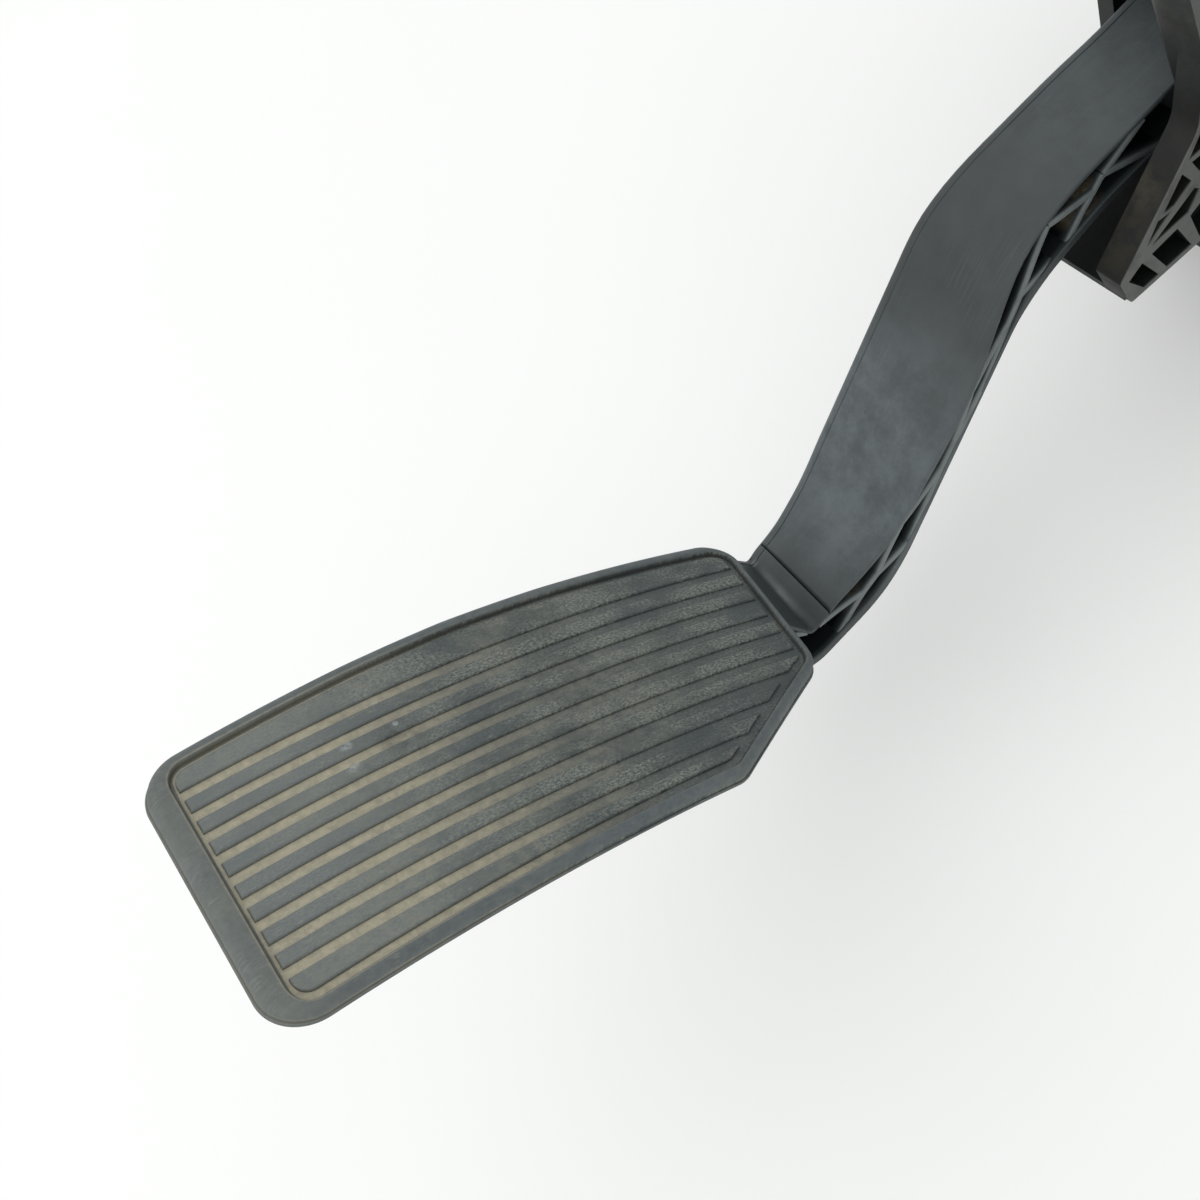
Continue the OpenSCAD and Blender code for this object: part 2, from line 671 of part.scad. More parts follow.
chip_reach = 4.5;
module hall_sensor(side) {
    color(rubber_black) sensor_side()
        translate([pivot_x + chip_reach * side - chip[0] / 2, board_y - chip[1], pivot_z - chip[2] / 2]) cube(chip);
}
terminal_size = 1;
terminal_overlap = 3;
terminal_x0 = socket_x0 - board_inset - terminal_overlap;
terminal_len = board_inset + terminal_overlap + socket_depth - 6;
module terminal(i) {
    translate([terminal_x0, board_y - terminal_size, pivot_z + (i - 2.5) * terminal_pitch - terminal_size / 2])
        cube([terminal_len, terminal_size, terminal_size]);
}
module terminal_pin(i) { color(pin_brass) sensor_side() terminal(i); }
module cover_seal() {
    color(rubber_black) sensor_side() seal_groove(box_out - seal, box_out);
}
module sensor_cover() {
    color(slate_dark) sensor_side() difference() {
        union() {
            along_y(box_out, box_out + cover) outline(box_outline);
            along_y(box_out + cover - eps, box_out + cover + 1) difference() {
                outline(inset(box_outline, 8));
                outline(inset(box_outline, 9.5));
            }
        }
        for (p = screw_points) round_y(p[0], p[1], screw_r + 0.2, box_out - 1, box_out + cover + 2);
    }
}
module cover_screw(i) {
    p = screw_points[i];
    color(steel) sensor_side() difference() {
        union() {
            round_y(p[0], p[1], screw_r, box_out - 8, box_out + cover);
            round_y(p[0], p[1], 2.9, box_out + cover, box_out + cover + 2);
        }
        translate([p[0] - 0.4, box_out + cover + 1, p[1] - 2]) cube([0.8, 2, 4]);
    }
}
module mounting_sleeve(i) {
    color(steel) translate([bolt_points[i][0], bolt_points[i][1], 0]) difference() {
        cylinder(r = sleeve_r, h = flange);
        translate([0, 0, -1]) cylinder(r = bolt_r, h = flange + 2);
    }
}

housing();
pedal_arm();
pivot_shaft();
bush_right();
bush_left();
shaft_clip();
outer_spring();
inner_spring();
spring_seat();
friction_shoe();
idle_stop();
full_stop();
magnet_rotor();
rotor_magnet();
circuit_board();
hall_sensor(-1);  // hall_sensor_a
hall_sensor(1);  // hall_sensor_b
terminal_pin(0);  // terminal_pin_1
terminal_pin(1);  // terminal_pin_2
terminal_pin(2);  // terminal_pin_3
terminal_pin(3);  // terminal_pin_4
terminal_pin(4);  // terminal_pin_5
terminal_pin(5);  // terminal_pin_6
cover_seal();
sensor_cover();
cover_screw(0);  // cover_screw_1
cover_screw(1);  // cover_screw_2
cover_screw(2);  // cover_screw_3
cover_screw(3);  // cover_screw_4
mounting_sleeve(0);  // mounting_sleeve_1
mounting_sleeve(1);  // mounting_sleeve_2
mounting_sleeve(2);  // mounting_sleeve_3
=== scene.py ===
"""Looks of a car's accelerator pedal module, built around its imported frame.

Lengths are written in millimetres, as in the part's source, and turned into metres where a mesh is made.
+Z points away from the mounting face, Y runs along the pivot and the pad reaches towards -X.
"""

import json
import logging
from dataclasses import dataclass, field
from enum import Enum
from typing import Sequence

import bmesh
import bpy
import numpy as np
from mathutils import Matrix, Vector

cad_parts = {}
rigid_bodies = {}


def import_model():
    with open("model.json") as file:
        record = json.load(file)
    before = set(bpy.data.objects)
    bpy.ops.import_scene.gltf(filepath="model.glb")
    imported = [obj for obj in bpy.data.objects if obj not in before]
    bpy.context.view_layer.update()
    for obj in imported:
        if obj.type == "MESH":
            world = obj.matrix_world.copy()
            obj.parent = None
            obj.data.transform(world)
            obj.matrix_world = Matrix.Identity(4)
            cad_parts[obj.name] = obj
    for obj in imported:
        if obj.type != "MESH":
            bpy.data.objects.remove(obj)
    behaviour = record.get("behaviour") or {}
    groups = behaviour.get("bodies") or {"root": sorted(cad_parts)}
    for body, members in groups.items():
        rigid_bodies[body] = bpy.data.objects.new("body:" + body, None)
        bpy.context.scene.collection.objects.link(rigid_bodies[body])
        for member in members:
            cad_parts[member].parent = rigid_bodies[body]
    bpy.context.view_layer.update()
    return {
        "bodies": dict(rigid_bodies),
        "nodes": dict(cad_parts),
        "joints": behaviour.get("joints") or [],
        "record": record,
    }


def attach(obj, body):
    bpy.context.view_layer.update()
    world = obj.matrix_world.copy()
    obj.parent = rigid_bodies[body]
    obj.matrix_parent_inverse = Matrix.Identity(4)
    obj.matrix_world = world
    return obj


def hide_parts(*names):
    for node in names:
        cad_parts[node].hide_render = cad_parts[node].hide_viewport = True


MM = 0.001
LOG = logging.getLogger("pedal")

Triple = tuple[float, float, float]
Corners = Sequence[Triple]
Table = tuple[tuple[float, float], ...]
Socket = bpy.types.NodeSocket


def turn(u: np.ndarray, v: np.ndarray) -> float:
    """Signed angle in radians from direction u to direction v, positive to the left."""
    return float(np.arctan2(u[0] * v[1] - u[1] * v[0], u @ v))


def rounded(corners: Corners, closed: bool = True, step: float = 0.07) -> np.ndarray:
    """Outline through corner points, with an arc of the given radius at each.

    The arc touches both edges at r * tan(turn / 2) from the corner.

    Args:
        corners: (x, y, radius) of each corner in order.
        closed: whether the last corner joins the first.
        step: largest angle between two points of an arc, in radians.

    Returns:
        The outline's points, one row each.
    """
    pts = np.array([c[:2] for c in corners], float)
    out: list[np.ndarray] = []
    for i, (_, _, r) in enumerate(corners):
        if r <= 0 or (not closed and i in (0, len(corners) - 1)):
            out.append(pts[i][None])
            continue
        u = pts[i] - pts[i - 1]
        v = pts[(i + 1) % len(pts)] - pts[i]
        u, v = u / np.hypot(*u), v / np.hypot(*v)
        a = turn(u, v)
        side = np.sign(a)
        start = pts[i] - u * r * np.tan(abs(a) / 2)
        hub = start + np.array([-u[1], u[0]]) * r * side
        t = np.linspace(0, a, max(2, int(abs(a) / step) + 2))
        q = start - hub
        out.append(hub + np.stack([q[0] * np.cos(t) - q[1] * np.sin(t), q[0] * np.sin(t) + q[1] * np.cos(t)], 1))
    return np.concatenate(out)


def level(line: np.ndarray, x: np.ndarray | float) -> np.ndarray:
    """Second coordinate of a line, sorted along its first, where the first is x."""
    return np.interp(x, line[:, 0], line[:, 1])


def lengths(points: np.ndarray) -> np.ndarray:
    """Distance along a line of points, from its first to each."""
    return np.concatenate([[0.0], np.cumsum(np.hypot(*np.diff(points, axis=0).T))])


def resampled(points: np.ndarray, spacing: float) -> np.ndarray:
    """Spaces an outline's points evenly, by interpolation along its length.

    Args:
        points: a closed outline.
        spacing: distance between its new points.

    Returns:
        The new points, one row each.
    """
    loop = np.concatenate([points, points[:1]])
    s = lengths(loop)
    t = np.linspace(0, s[-1], int(s[-1] / spacing), endpoint=False)
    return np.stack([np.interp(t, s, loop[:, k]) for k in (0, 1)], 1)


def inward(points: np.ndarray) -> np.ndarray:
    """Unit normals of a closed counter-clockwise outline, pointing inwards, across each point's neighbours."""
    t = np.roll(points, -1, 0) - np.roll(points, 1, 0)
    return np.stack([-t[:, 1], t[:, 0]], 1) / np.hypot(*t.T)[:, None]


def arc(cx: float, cy: float, r: float, a0: float, a1: float, count: int = 5) -> np.ndarray:
    """Points of a circular arc from angle a0 to a1, in degrees."""
    t = np.radians(np.linspace(a0, a1, count))
    return np.stack([cx + r * np.cos(t), cy + r * np.sin(t)], 1)


def placed(name: str, data: bpy.types.ID) -> bpy.types.Object:
    """Makes an object of a mesh, camera or lamp, and links it to the scene.

    Args:
        name: the object's name.
        data: what it shows.

    Returns:
        The new object.
    """
    obj = bpy.data.objects.new(name, data)
    bpy.context.scene.collection.objects.link(obj)
    return obj


@dataclass
class Shell:
    """Vertices and faces gathered for one piece, in millimetres."""

    verts: list[np.ndarray] = field(default_factory=list)
    faces: list[tuple[int, ...]] = field(default_factory=list)
    uvs: list[np.ndarray] = field(default_factory=list)
    depths: list[np.ndarray] = field(default_factory=list)
    count: int = 0

    def add(self, verts: np.ndarray, faces: list[tuple[int, ...]], uv: np.ndarray | None = None,
            depth: np.ndarray | None = None) -> None:
        """Adds a closed form.

        Args:
            verts: its points, one row each.
            faces: its faces, as indices into verts.
            uv: two surface coordinates per point in millimetres, or None for X and Y.
            depth: how deep each point lies in a recess, from 0 to 1, or None for 0.
        """
        self.verts.append(verts)
        self.uvs.append(verts[:, :2] if uv is None else uv)
        self.depths.append(np.zeros(len(verts)) if depth is None else depth)
        self.faces.extend(tuple(int(i) + self.count for i in f) for f in faces)
        self.count += len(verts)

    def tube(self, rings: np.ndarray, looped: bool = False, **marks: np.ndarray) -> None:
        """Adds a profile carried along a path, as rings of points joined by quads.

        Args:
            rings: array (stations, profile points, 3); the profile is closed.
            looped: whether the last ring joins the first; otherwise both ends are capped.
            marks: uv and depth for add, per point.
        """
        n, m = rings.shape[:2]
        index = np.arange(n * m).reshape(n, m)
        a = index if looped else index[:-1]
        b = np.roll(index, -1, 0) if looped else index[1:]
        quads = np.stack([a, np.roll(a, -1, 1), np.roll(b, -1, 1), b], -1).reshape(-1, 4)
        faces = [tuple(q) for q in quads.tolist()]
        if not looped:
            faces += [tuple(index[0][::-1].tolist()), tuple(index[-1].tolist())]
        self.add(rings.reshape(-1, 3), faces, **marks)

    def block(self, top: np.ndarray, bottom: np.ndarray, **marks: np.ndarray) -> None:
        """Adds a solid between two grids of the same size, with walls along their borders.

        Args:
            top: array (rows, columns, 3) whose quads face outwards.
            bottom: the opposite grid, point for point.
            marks: uv and depth for add, per point, top first.
        """
        n, m = top.shape[:2]
        index = np.arange(n * m).reshape(n, m)
        quads = np.stack([index[:-1, :-1], index[1:, :-1], index[1:, 1:], index[:-1, 1:]], -1).reshape(-1, 4)
        border = np.concatenate([index[0, :-1], index[:-1, -1], index[-1, :0:-1], index[:0:-1, 0]])
        nxt = np.roll(border, -1)
        walls = np.stack([border, nxt, nxt + n * m, border + n * m], -1)
        faces = np.concatenate([quads, quads[:, ::-1] + n * m, walls])
        self.add(np.concatenate([top.reshape(-1, 3), bottom.reshape(-1, 3)]),
                 [tuple(f) for f in faces.tolist()], **marks)

    def prism(self, outline: np.ndarray, y0: float, y1: float, bevel: float) -> None:
        """Adds an outline in X and Z drawn out along Y, its two end edges bevelled.

        Args:
            outline: counter-clockwise points (x, z).
            y0: lower end.
            y1: upper end.
            bevel: width of the bevel.
        """
        small = outline + inward(outline) * bevel
        rings = [(small, y0), (outline, y0 + bevel), (outline, y1 - bevel), (small, y1)]
        self.tube(np.stack([np.stack([p[:, 0], np.full(len(p), y), p[:, 1]], 1) for p, y in rings]))

    def make(self, name: str, sharp: float = 38.0) -> bpy.types.Object:
        """Puts the gathered forms into a mesh object at the origin, with smooth shading up to an angle.

        Args:
            name: the object's name.
            sharp: angle in degrees beyond which an edge stays sharp.

        Returns:
            The new object.
        """
        mesh = bpy.data.meshes.new(name)
        mesh.from_pydata(np.concatenate(self.verts) * MM, [], self.faces)
        corner = np.empty(len(mesh.loops), np.int32)
        mesh.loops.foreach_get("vertex_index", corner)
        layer = mesh.uv_layers.new(name="surface")
        layer.data.foreach_set("uv", (np.concatenate(self.uvs)[corner] * MM).astype(np.float32).ravel())
        deep = mesh.attributes.new("depth", "FLOAT", "POINT")
        deep.data.foreach_set("value", np.concatenate(self.depths).astype(np.float32))
        tidy = bmesh.new()
        tidy.from_mesh(mesh)
        bmesh.ops.recalc_face_normals(tidy, faces=tidy.faces)
        tidy.to_mesh(mesh)
        tidy.free()
        mesh.shade_smooth()
        mesh.set_sharp_from_angle(angle=np.radians(sharp))
        return placed(name, mesh)


class Graph:
    """The node tree of a material or of the world, with short calls to add nodes and link them."""

    def __init__(self, owner: bpy.types.Material | bpy.types.World, kind: str = "Material") -> None:
        """Clears the owner's nodes and adds its output.

        Args:
            owner: the new material or world.
            kind: last word of the output node's type.
        """
        owner.use_nodes = True
        self.owner, self.tree = owner, owner.node_tree
        self.tree.nodes.clear()
        self.output = self.tree.nodes.new("ShaderNodeOutput" + kind)

    def node(self, kind: str, inputs: dict[str | int, object] | None = None, **settings: object) -> bpy.types.Node:
        """Adds a node.

        Args:
            kind: the node's type without its ShaderNode prefix.
            inputs: values or sockets for its inputs, by name or index.
            settings: its own properties.

        Returns:
            The node.
        """
        made = self.tree.nodes.new("ShaderNode" + kind)
        for key, value in settings.items():
            setattr(made, key, value)
        for key, value in (inputs or {}).items():
            if isinstance(value, Socket):
                self.tree.links.new(value, made.inputs[key])
            else:
                made.inputs[key].default_value = value
        return made

    def depth(self) -> Socket:
        """The mesh's depth attribute."""
        return self.node("Attribute", attribute_name="depth").outputs["Fac"]

    def math(self, operation: str, a: object, b: object = 0.0) -> Socket:
        """A Math node's result, clamped to 0 and 1."""
        return self.node("Math", {0: a, 1: b}, operation=operation, use_clamp=True).outputs[0]

    def times(self, a: object, b: object) -> Socket:
        """Two values multiplied, clamped to 0 and 1."""
        return self.math("MULTIPLY", a, b)

    def noise(self, vector: object, scale: float, detail: float = 4.0, rough: float = 0.55) -> Socket:
        """Fractal noise over a vector, from about 0.2 to 0.8."""
        made = self.node("TexNoise", {"Vector": vector, "Scale": scale, "Detail": detail, "Roughness": rough})
        return made.outputs["Fac"]

    def ramp(self, value: object, low: float, high: float, out0: object = 0.0, out1: object = 1.0) -> Socket:
        """A value mapped smoothly from low..high to out0..out1."""
        made = self.node("MapRange", {0: value, 1: low, 2: high, 3: out0, 4: out1}, interpolation_type="SMOOTHSTEP")
        return made.outputs[0]

    def mix(self, factor: object, a: object, b: object, blend: str = "MIX") -> Socket:
        """Two colours mixed by a factor."""
        made = self.node("Mix", {0: factor, 6: a, 7: b}, data_type="RGBA", blend_type=blend)
        return made.outputs[2]

    def stretched(self, vector: object, scale: Triple, turned: Triple = (0, 0, 0)) -> Socket:
        """Coordinates turned and scaled, for streaks and scratches."""
        return self.node("Mapping", {"Vector": vector, "Rotation": turned, "Scale": scale}).outputs[0]

    def bump(self, height: object, distance: float, strength: float = 1.0) -> Socket:
        """A normal bent by a height in metres times the distance."""
        return self.node("Bump", {"Height": height, "Distance": distance, "Strength": strength}).outputs[0]

    def surface(self, **sockets: object) -> bpy.types.Material:
        """Ends the material with a principled shader.

        Args:
            sockets: its inputs, with underscores for the spaces in their names.

        Returns:
            The material.
        """
        names = {key.replace("_", " "): value for key, value in sockets.items()}
        made = self.node("BsdfPrincipled", names)
        self.tree.links.new(made.outputs[0], self.output.inputs[0])
        return self.owner


def started(name: str) -> tuple[Graph, Socket]:
    """A new material's tree, with the object coordinates in it."""
    g = Graph(bpy.data.materials.new(name))
    return g, g.node("TexCoord").outputs["Object"]


# Hair scratches: direction in radians, fineness, and the noise above which one shows
SCRATCHES = ((0.5, 5200.0, 0.63), (-0.75, 4400.0, 0.645), (1.25, 4800.0, 0.65))


def rgba(c: Triple) -> tuple[float, float, float, float]:
    """An opaque colour for a node socket."""
    return (*c, 1.0)


@dataclass(frozen=True)
class Patch:
    """A soft round region, in metres, where dust lies, the surface is worn or a pool of light is painted; inside means
    in recesses alone.
    """

    place: Triple
    radius: float
    amount: float
    inside: bool = False

    def mask(self, g: Graph, at: object, ragged: object) -> Socket:
        """The region's strength: it falls from its middle to its radius, with a ragged edge.

        Args:
            g: the material's tree.
            at: object coordinates.
            ragged: a noise that breaks up the edge.

        Returns:
            A factor from 0 to the patch's amount.
        """
        away = g.node("VectorMath", {0: at, 1: self.place}, operation="DISTANCE").outputs["Value"]
        near = g.ramp(away, self.radius, self.radius * 0.2)
        torn = g.times(near, g.ramp(ragged, 0.34, 0.62))
        if self.inside:
            torn = g.times(torn, g.ramp(g.depth(), 0.2, 0.6))
        return g.times(torn, self.amount)


@dataclass(frozen=True)
class MouldedPlastic:
    """Glass-filled nylon as it comes from the mould, with mottling, hair scratches and settled dust.

    The attribute depth paints shade into recesses where it is above 0, and where it is below it marks edges
    that take a lighter colour, partly worn and partly painted highlight. With cheek set, that edge colour goes
    instead on the plane of the housing's ribbed cheek.
    """

    name: str
    base: Triple
    shade: Triple
    # painted shade: the colour that recesses darken towards by their depth mark
    pit: Triple
    # lighter colour of marked edges: partly worn edges, partly painted highlight
    edge: Triple
    dust: Triple = (0.20, 0.17, 0.11)
    dust_amount: float = 0.2
    scuff: float = 0.3
    roughness: float = 0.5
    specular: float = 0.4
    dusty: tuple[Patch, ...] = ()
    # patches in the lighter colour: worn spots, and on the slate arm also a painted pool of light
    rubbed: tuple[Patch, ...] = ()
    cheek: bool = False

    def build(self) -> bpy.types.Material:
        """Mottled base, worn and painted-light patches, scratches in three directions, dust, painted shade in recesses,
        edges that are partly worn and partly painted highlight, and a fine grain.
        """
        g, at = started(self.name)
        deep = g.depth()
        cloud = g.noise(at, 26.0, 6.0, 0.6)
        fine = g.noise(at, 210.0, 5.0, 0.6)
        broad, narrow = g.times(g.ramp(cloud, 0.3, 0.7), 0.6), g.times(g.ramp(fine, 0.3, 0.7), 0.4)
        mottle = g.math("ADD", broad, narrow)
        colour = g.mix(mottle, rgba(self.shade), rgba(self.base))
        light = tuple(2.6 * c + 0.021 for c in self.base)
        # lighter patches: wear, and one painted pool of light on the slate arm
        for patch in self.rubbed:
            ragged = g.ramp(g.noise(at, 95.0, 8.0, 0.75), 0.3, 0.7, 0.44, 0.58)
            colour = g.mix(patch.mask(g, at, ragged), colour, rgba(light))
        worn = g.ramp(g.noise(at, 48.0, 3.0), 0.42, 0.66)
        lines = [g.ramp(g.noise(g.stretched(at, (70.0, fineness, 60.0), (0.0, 0.0, angle)), 1.0, 1.0), low, low + 0.07)
                 for angle, fineness, low in SCRATCHES]
        scratched = g.math("MAXIMUM", g.math("MAXIMUM", lines[0], lines[1]), lines[2])
        colour = g.mix(g.times(g.times(scratched, worn), self.scuff), colour, rgba(light))
        spread = g.ramp(g.noise(at, 30.0, 6.0, 0.65), 0.5, 0.75)
        speck = g.ramp(g.noise(at, 1300.0, 2.0), 0.56, 0.68)
        lying = g.times(g.math("ADD", g.times(spread, 0.5), g.times(speck, 0.25)), self.dust_amount)
        for patch in self.dusty:
            lying = g.math("MAXIMUM", lying, patch.mask(g, at, g.noise(at, 170.0, 6.0, 0.7)))
        # painted shade: recesses darken with their depth mark
        colour = g.mix(g.times(deep, 0.94), colour, rgba(self.pit))
        colour = g.mix(lying, colour, rgba(self.dust))
        # Edge colour, partly wear and partly painted highlight: on edges marked below 0, or on the cheek's rib-edge
        # plane.
        if self.cheek:
            y = g.node("SeparateXYZ", {0: at}).outputs[1]
            edge_wear_and_highlight = g.times(g.ramp(y, -0.0216, -0.0219), g.ramp(y, -0.0226, -0.0223))
        else:
            edge_wear_and_highlight = g.times(deep, -1.0)
        colour = g.mix(g.times(edge_wear_and_highlight, g.ramp(fine, 0.25, 0.6, 0.55, 1.0)), colour, rgba(self.edge))
        rough = g.ramp(g.noise(at, 85.0, 5.0), 0.3, 0.7, self.roughness - 0.07, self.roughness + 0.09)
        grain = g.bump(g.noise(at, 2600.0, 3.0), 0.00003)
        shine = g.times(self.specular, g.ramp(deep, 0.1, 0.8, 1.0, 0.1))
        return g.surface(Base_Color=colour, Roughness=rough, Specular_IOR_Level=shine, Normal=grain)


@dataclass(frozen=True)
class TreadPlastic:
    """The pad's coarse moulded skin, with tan dust lying in its grooves and channel.

    The attribute depth is 0 on the lands, above 0 on walls, where it paints shade, about -0.3 on the rim and -1 on the
    grooves' floors.
    """

    name: str = "tread_plastic"
    base: Triple = (0.04, 0.0515, 0.0535)
    worn_base: Triple = (0.108, 0.125, 0.123)
    grain: Triple = (0.185, 0.2, 0.175)
    worn_grain: Triple = (0.15, 0.165, 0.155)
    rim: Triple = (0.068, 0.083, 0.087)
    rim_light: Triple = (0.115, 0.13, 0.13)
    floor: Triple = (0.05, 0.061, 0.064)
    dust: Triple = (0.35, 0.325, 0.24)
    film: Triple = (0.2, 0.198, 0.155)
    # painted shade on the walls
    pit: Triple = (0.014, 0.016, 0.014)
    # painted wall shade mixed with dust, for the walls at the dusty low end
    dirt: Triple = (0.085, 0.076, 0.05)
    scratch: Triple = (0.2, 0.215, 0.2)
    chip: Triple = (0.42, 0.46, 0.46)
    soot: Triple = (0.03, 0.032, 0.03)
    stain: Patch = Patch((-0.2125, -0.0105, 0.117), 0.006, 0.5)
    roughness: float = 0.6
    marks: tuple[Patch, ...] = (
        Patch((-0.2195, -0.0075, 0.1219), 0.0016, 0.5), Patch((-0.2202, -0.0118, 0.1225), 0.0018, 0.4),
        Patch((-0.2125, -0.0015, 0.117), 0.001, 0.6), Patch((-0.2121, -0.0078, 0.1167), 0.0007, 0.75))

    def build(self) -> bpy.types.Material:
        """Sandy lands, smooth rim and floors, dust that fades towards the neck end, and painted shade on the walls."""
        g, at = started(self.name)
        uv = g.node("UVMap", uv_map="surface").outputs[0]
        deep = g.depth()
        along = g.node("SeparateXYZ", {0: uv}).outputs[0]
        cloud = g.noise(g.stretched(uv, (60.0, 105.0, 1.0)), 1.0, 5.0, 0.62)
        sand = g.noise(g.stretched(uv, (1600.0, 2900.0, 1.0)), 1.0, 4.0, 0.75)
        clean_end = g.ramp(along, -0.04, 0.004)
        patchy = g.ramp(cloud, 0.38, 0.6, 0.16, 1.0)
        grains = g.times(g.ramp(sand, 0.38, 0.65), patchy)
        ground = g.mix(clean_end, rgba(self.worn_base), rgba(self.base))
        colour = g.mix(grains, ground, g.mix(clean_end, rgba(self.worn_grain), rgba(self.grain)))
        smooth = g.ramp(deep, -0.05, -0.25)
        bottom = g.ramp(deep, -0.5, -0.9)
        low_end = g.ramp(along, 0.016, -0.034)
        fine = g.ramp(g.noise(at, 700.0, 4.0, 0.7), 0.3, 0.7)
        rim = g.mix(g.times(fine, 0.5), rgba(self.rim), rgba(self.rim_light))
        filmed = g.times(g.ramp(along, -0.042, -0.058, 0.0, 0.22), g.ramp(cloud, 0.3, 0.6, 0.5, 1.0))
        rim = g.mix(filmed, rim, rgba(self.film))
        floor = g.mix(g.times(grains, 0.5), rgba(self.floor), rgba(self.grain))
        colour = g.mix(smooth, colour, g.mix(bottom, rim, floor))
        stroke = g.noise(g.stretched(uv, (420.0, 2300.0, 1.0), (0.0, 0.0, -0.55)), 1.0, 3.0, 0.7)
        stroke = g.times(g.ramp(stroke, 0.52, 0.72), g.ramp(g.noise(at, 95.0, 4.0), 0.4, 0.62, 0.1, 0.6))
        colour = g.mix(g.times(stroke, g.ramp(along, 0.03, -0.02)), colour, rgba(self.scratch))
        haze = g.times(g.ramp(g.noise(at, 52.0, 5.0, 0.6), 0.38, 0.6), g.ramp(along, 0.055, 0.0))
        torn = g.ramp(g.noise(at, 520.0, 5.0, 0.75), 0.34, 0.6)
        held = g.ramp(bottom, 0.0, 1.0, g.ramp(smooth, 0.0, 1.0, 0.34, 0.08), 0.55)
        colour = g.mix(g.times(g.times(haze, torn), held), colour, rgba(self.film))
        filled = g.times(g.times(bottom, low_end), g.ramp(torn, 0.0, 1.0, 0.78, 1.0))
        colour = g.mix(filled, colour, g.mix(fine, rgba(tuple(0.8 * c for c in self.dust)), rgba(self.dust)))
        # Painted shade on walls by their depth mark, browner with dust towards the low end.
        dirt = g.mix(low_end, rgba(self.pit), rgba(self.dirt))
        colour = g.mix(g.times(g.ramp(deep, 0.08, 0.8), 0.88), colour, dirt)
        for mark in self.marks:
            colour = g.mix(mark.mask(g, at, g.noise(at, 900.0, 3.0)), colour, rgba(self.chip))
        colour = g.mix(self.stain.mask(g, at, g.noise(at, 300.0, 4.0)), colour, rgba(self.soot))
        rough = g.ramp(g.noise(at, 120.0, 4.0), 0.3, 0.7, self.roughness - 0.05, self.roughness + 0.12)
        height = g.times(sand, g.ramp(smooth, 0.0, 1.0, 1.0, 0.25))
        grain = g.bump(height, 0.00012, 0.8)
        return g.surface(Base_Color=colour, Roughness=rough, Specular_IOR_Level=0.4, Normal=grain)


@dataclass(frozen=True)
class PlainMetal:
    """Turned, drawn or pressed metal with fine tool marks."""

    name: str
    base: Triple
    dull: Triple
    roughness: float = 0.32

    def build(self) -> bpy.types.Material:
        """Metal whose colour and gloss vary a little over fine streaks."""
        g, at = started(self.name)
        streak = g.noise(g.stretched(at, (260.0, 2400.0, 260.0)), 1.0, 3.0)
        colour = g.mix(g.ramp(streak, 0.35, 0.7), rgba(self.dull), rgba(self.base))
        rough = g.ramp(g.noise(at, 300.0, 4.0), 0.3, 0.7, self.roughness, self.roughness + 0.16)
        return g.surface(Base_Color=colour, Metallic=1.0, Roughness=rough)


@dataclass(frozen=True)
class SoftSolid:
    """Rubber, natural nylon or board material: one colour that varies a little."""

    name: str
    base: Triple
    shade: Triple
    roughness: float = 0.5

    def build(self) -> bpy.types.Material:
        """Faint clouding with a fine grain."""
        g, at = started(self.name)
        colour = g.mix(g.ramp(g.noise(at, 150.0, 5.0), 0.3, 0.7), rgba(self.shade), rgba(self.base))
        rough = g.ramp(g.noise(at, 420.0, 3.0), 0.3, 0.7, self.roughness - 0.05, self.roughness + 0.1)
        return g.surface(Base_Color=colour, Roughness=rough, Normal=g.bump(g.noise(at, 1800.0), 0.00002))


class Slot(Enum):
    """The record's material slots, each with the finish that its nodes get."""

    slate_plastic = MouldedPlastic(
        "slate_plastic", base=(0.0315, 0.0394, 0.042), shade=(0.0258, 0.0325, 0.035), pit=(0.0018, 0.0024, 0.0028),
        edge=(0.15, 0.172, 0.17), dust_amount=0.03, scuff=0.22,
        dusty=(Patch((-0.068, -0.007, 0.0745), 0.0065, 0.85, True), Patch((-0.1446, -0.008, 0.0382), 0.005, 0.6, True)),
        # The second patch is a painted pool of light on the arm's root under the hood; the others are rubbed wear.
        rubbed=(Patch((-0.122, 0.0, 0.05), 0.038, 0.9), Patch((-0.05, 0.0, 0.082), 0.03, 0.34),
                Patch((-0.113, 0.0125, 0.06), 0.008, 0.7)))
    dark_plastic = MouldedPlastic(
        "dark_plastic", base=(0.008, 0.0095, 0.0093), shade=(0.0055, 0.0066, 0.0066), pit=(0.002, 0.002, 0.002),
        edge=(0.098, 0.102, 0.098), dust=(0.07, 0.058, 0.038), dust_amount=0.16, scuff=0.12, roughness=0.56,
        specular=0.22, cheek=True,
        dusty=(Patch((-0.068, -0.018, 0.071), 0.011, 0.22), Patch((-0.062, -0.0165, 0.078), 0.008, 0.4),
               Patch((-0.0465, -0.014, 0.105), 0.008, 0.22)),
        rubbed=(Patch((-0.045, -0.014, 0.108), 0.024, 1.0),))
    steel = PlainMetal("steel", (0.6, 0.6, 0.61), (0.42, 0.42, 0.43))
    spring_steel = PlainMetal("spring_steel", (0.34, 0.34, 0.35), (0.2, 0.2, 0.21), 0.38)
    bearing_nylon = SoftSolid("bearing_nylon", (0.75, 0.72, 0.62), (0.66, 0.62, 0.52))
    stop_rubber = SoftSolid("stop_rubber", (0.022, 0.022, 0.022), (0.014, 0.014, 0.014), 0.7)
    magnet = SoftSolid("magnet", (0.12, 0.12, 0.13), (0.08, 0.08, 0.085), 0.45)
    board = SoftSolid("board", (0.02, 0.17, 0.07), (0.015, 0.12, 0.05), 0.4)
    chip = SoftSolid("chip", (0.016, 0.016, 0.017), (0.011, 0.011, 0.012), 0.55)
    pin_brass = PlainMetal("pin_brass", (0.72, 0.52, 0.22), (0.5, 0.36, 0.16), 0.3)


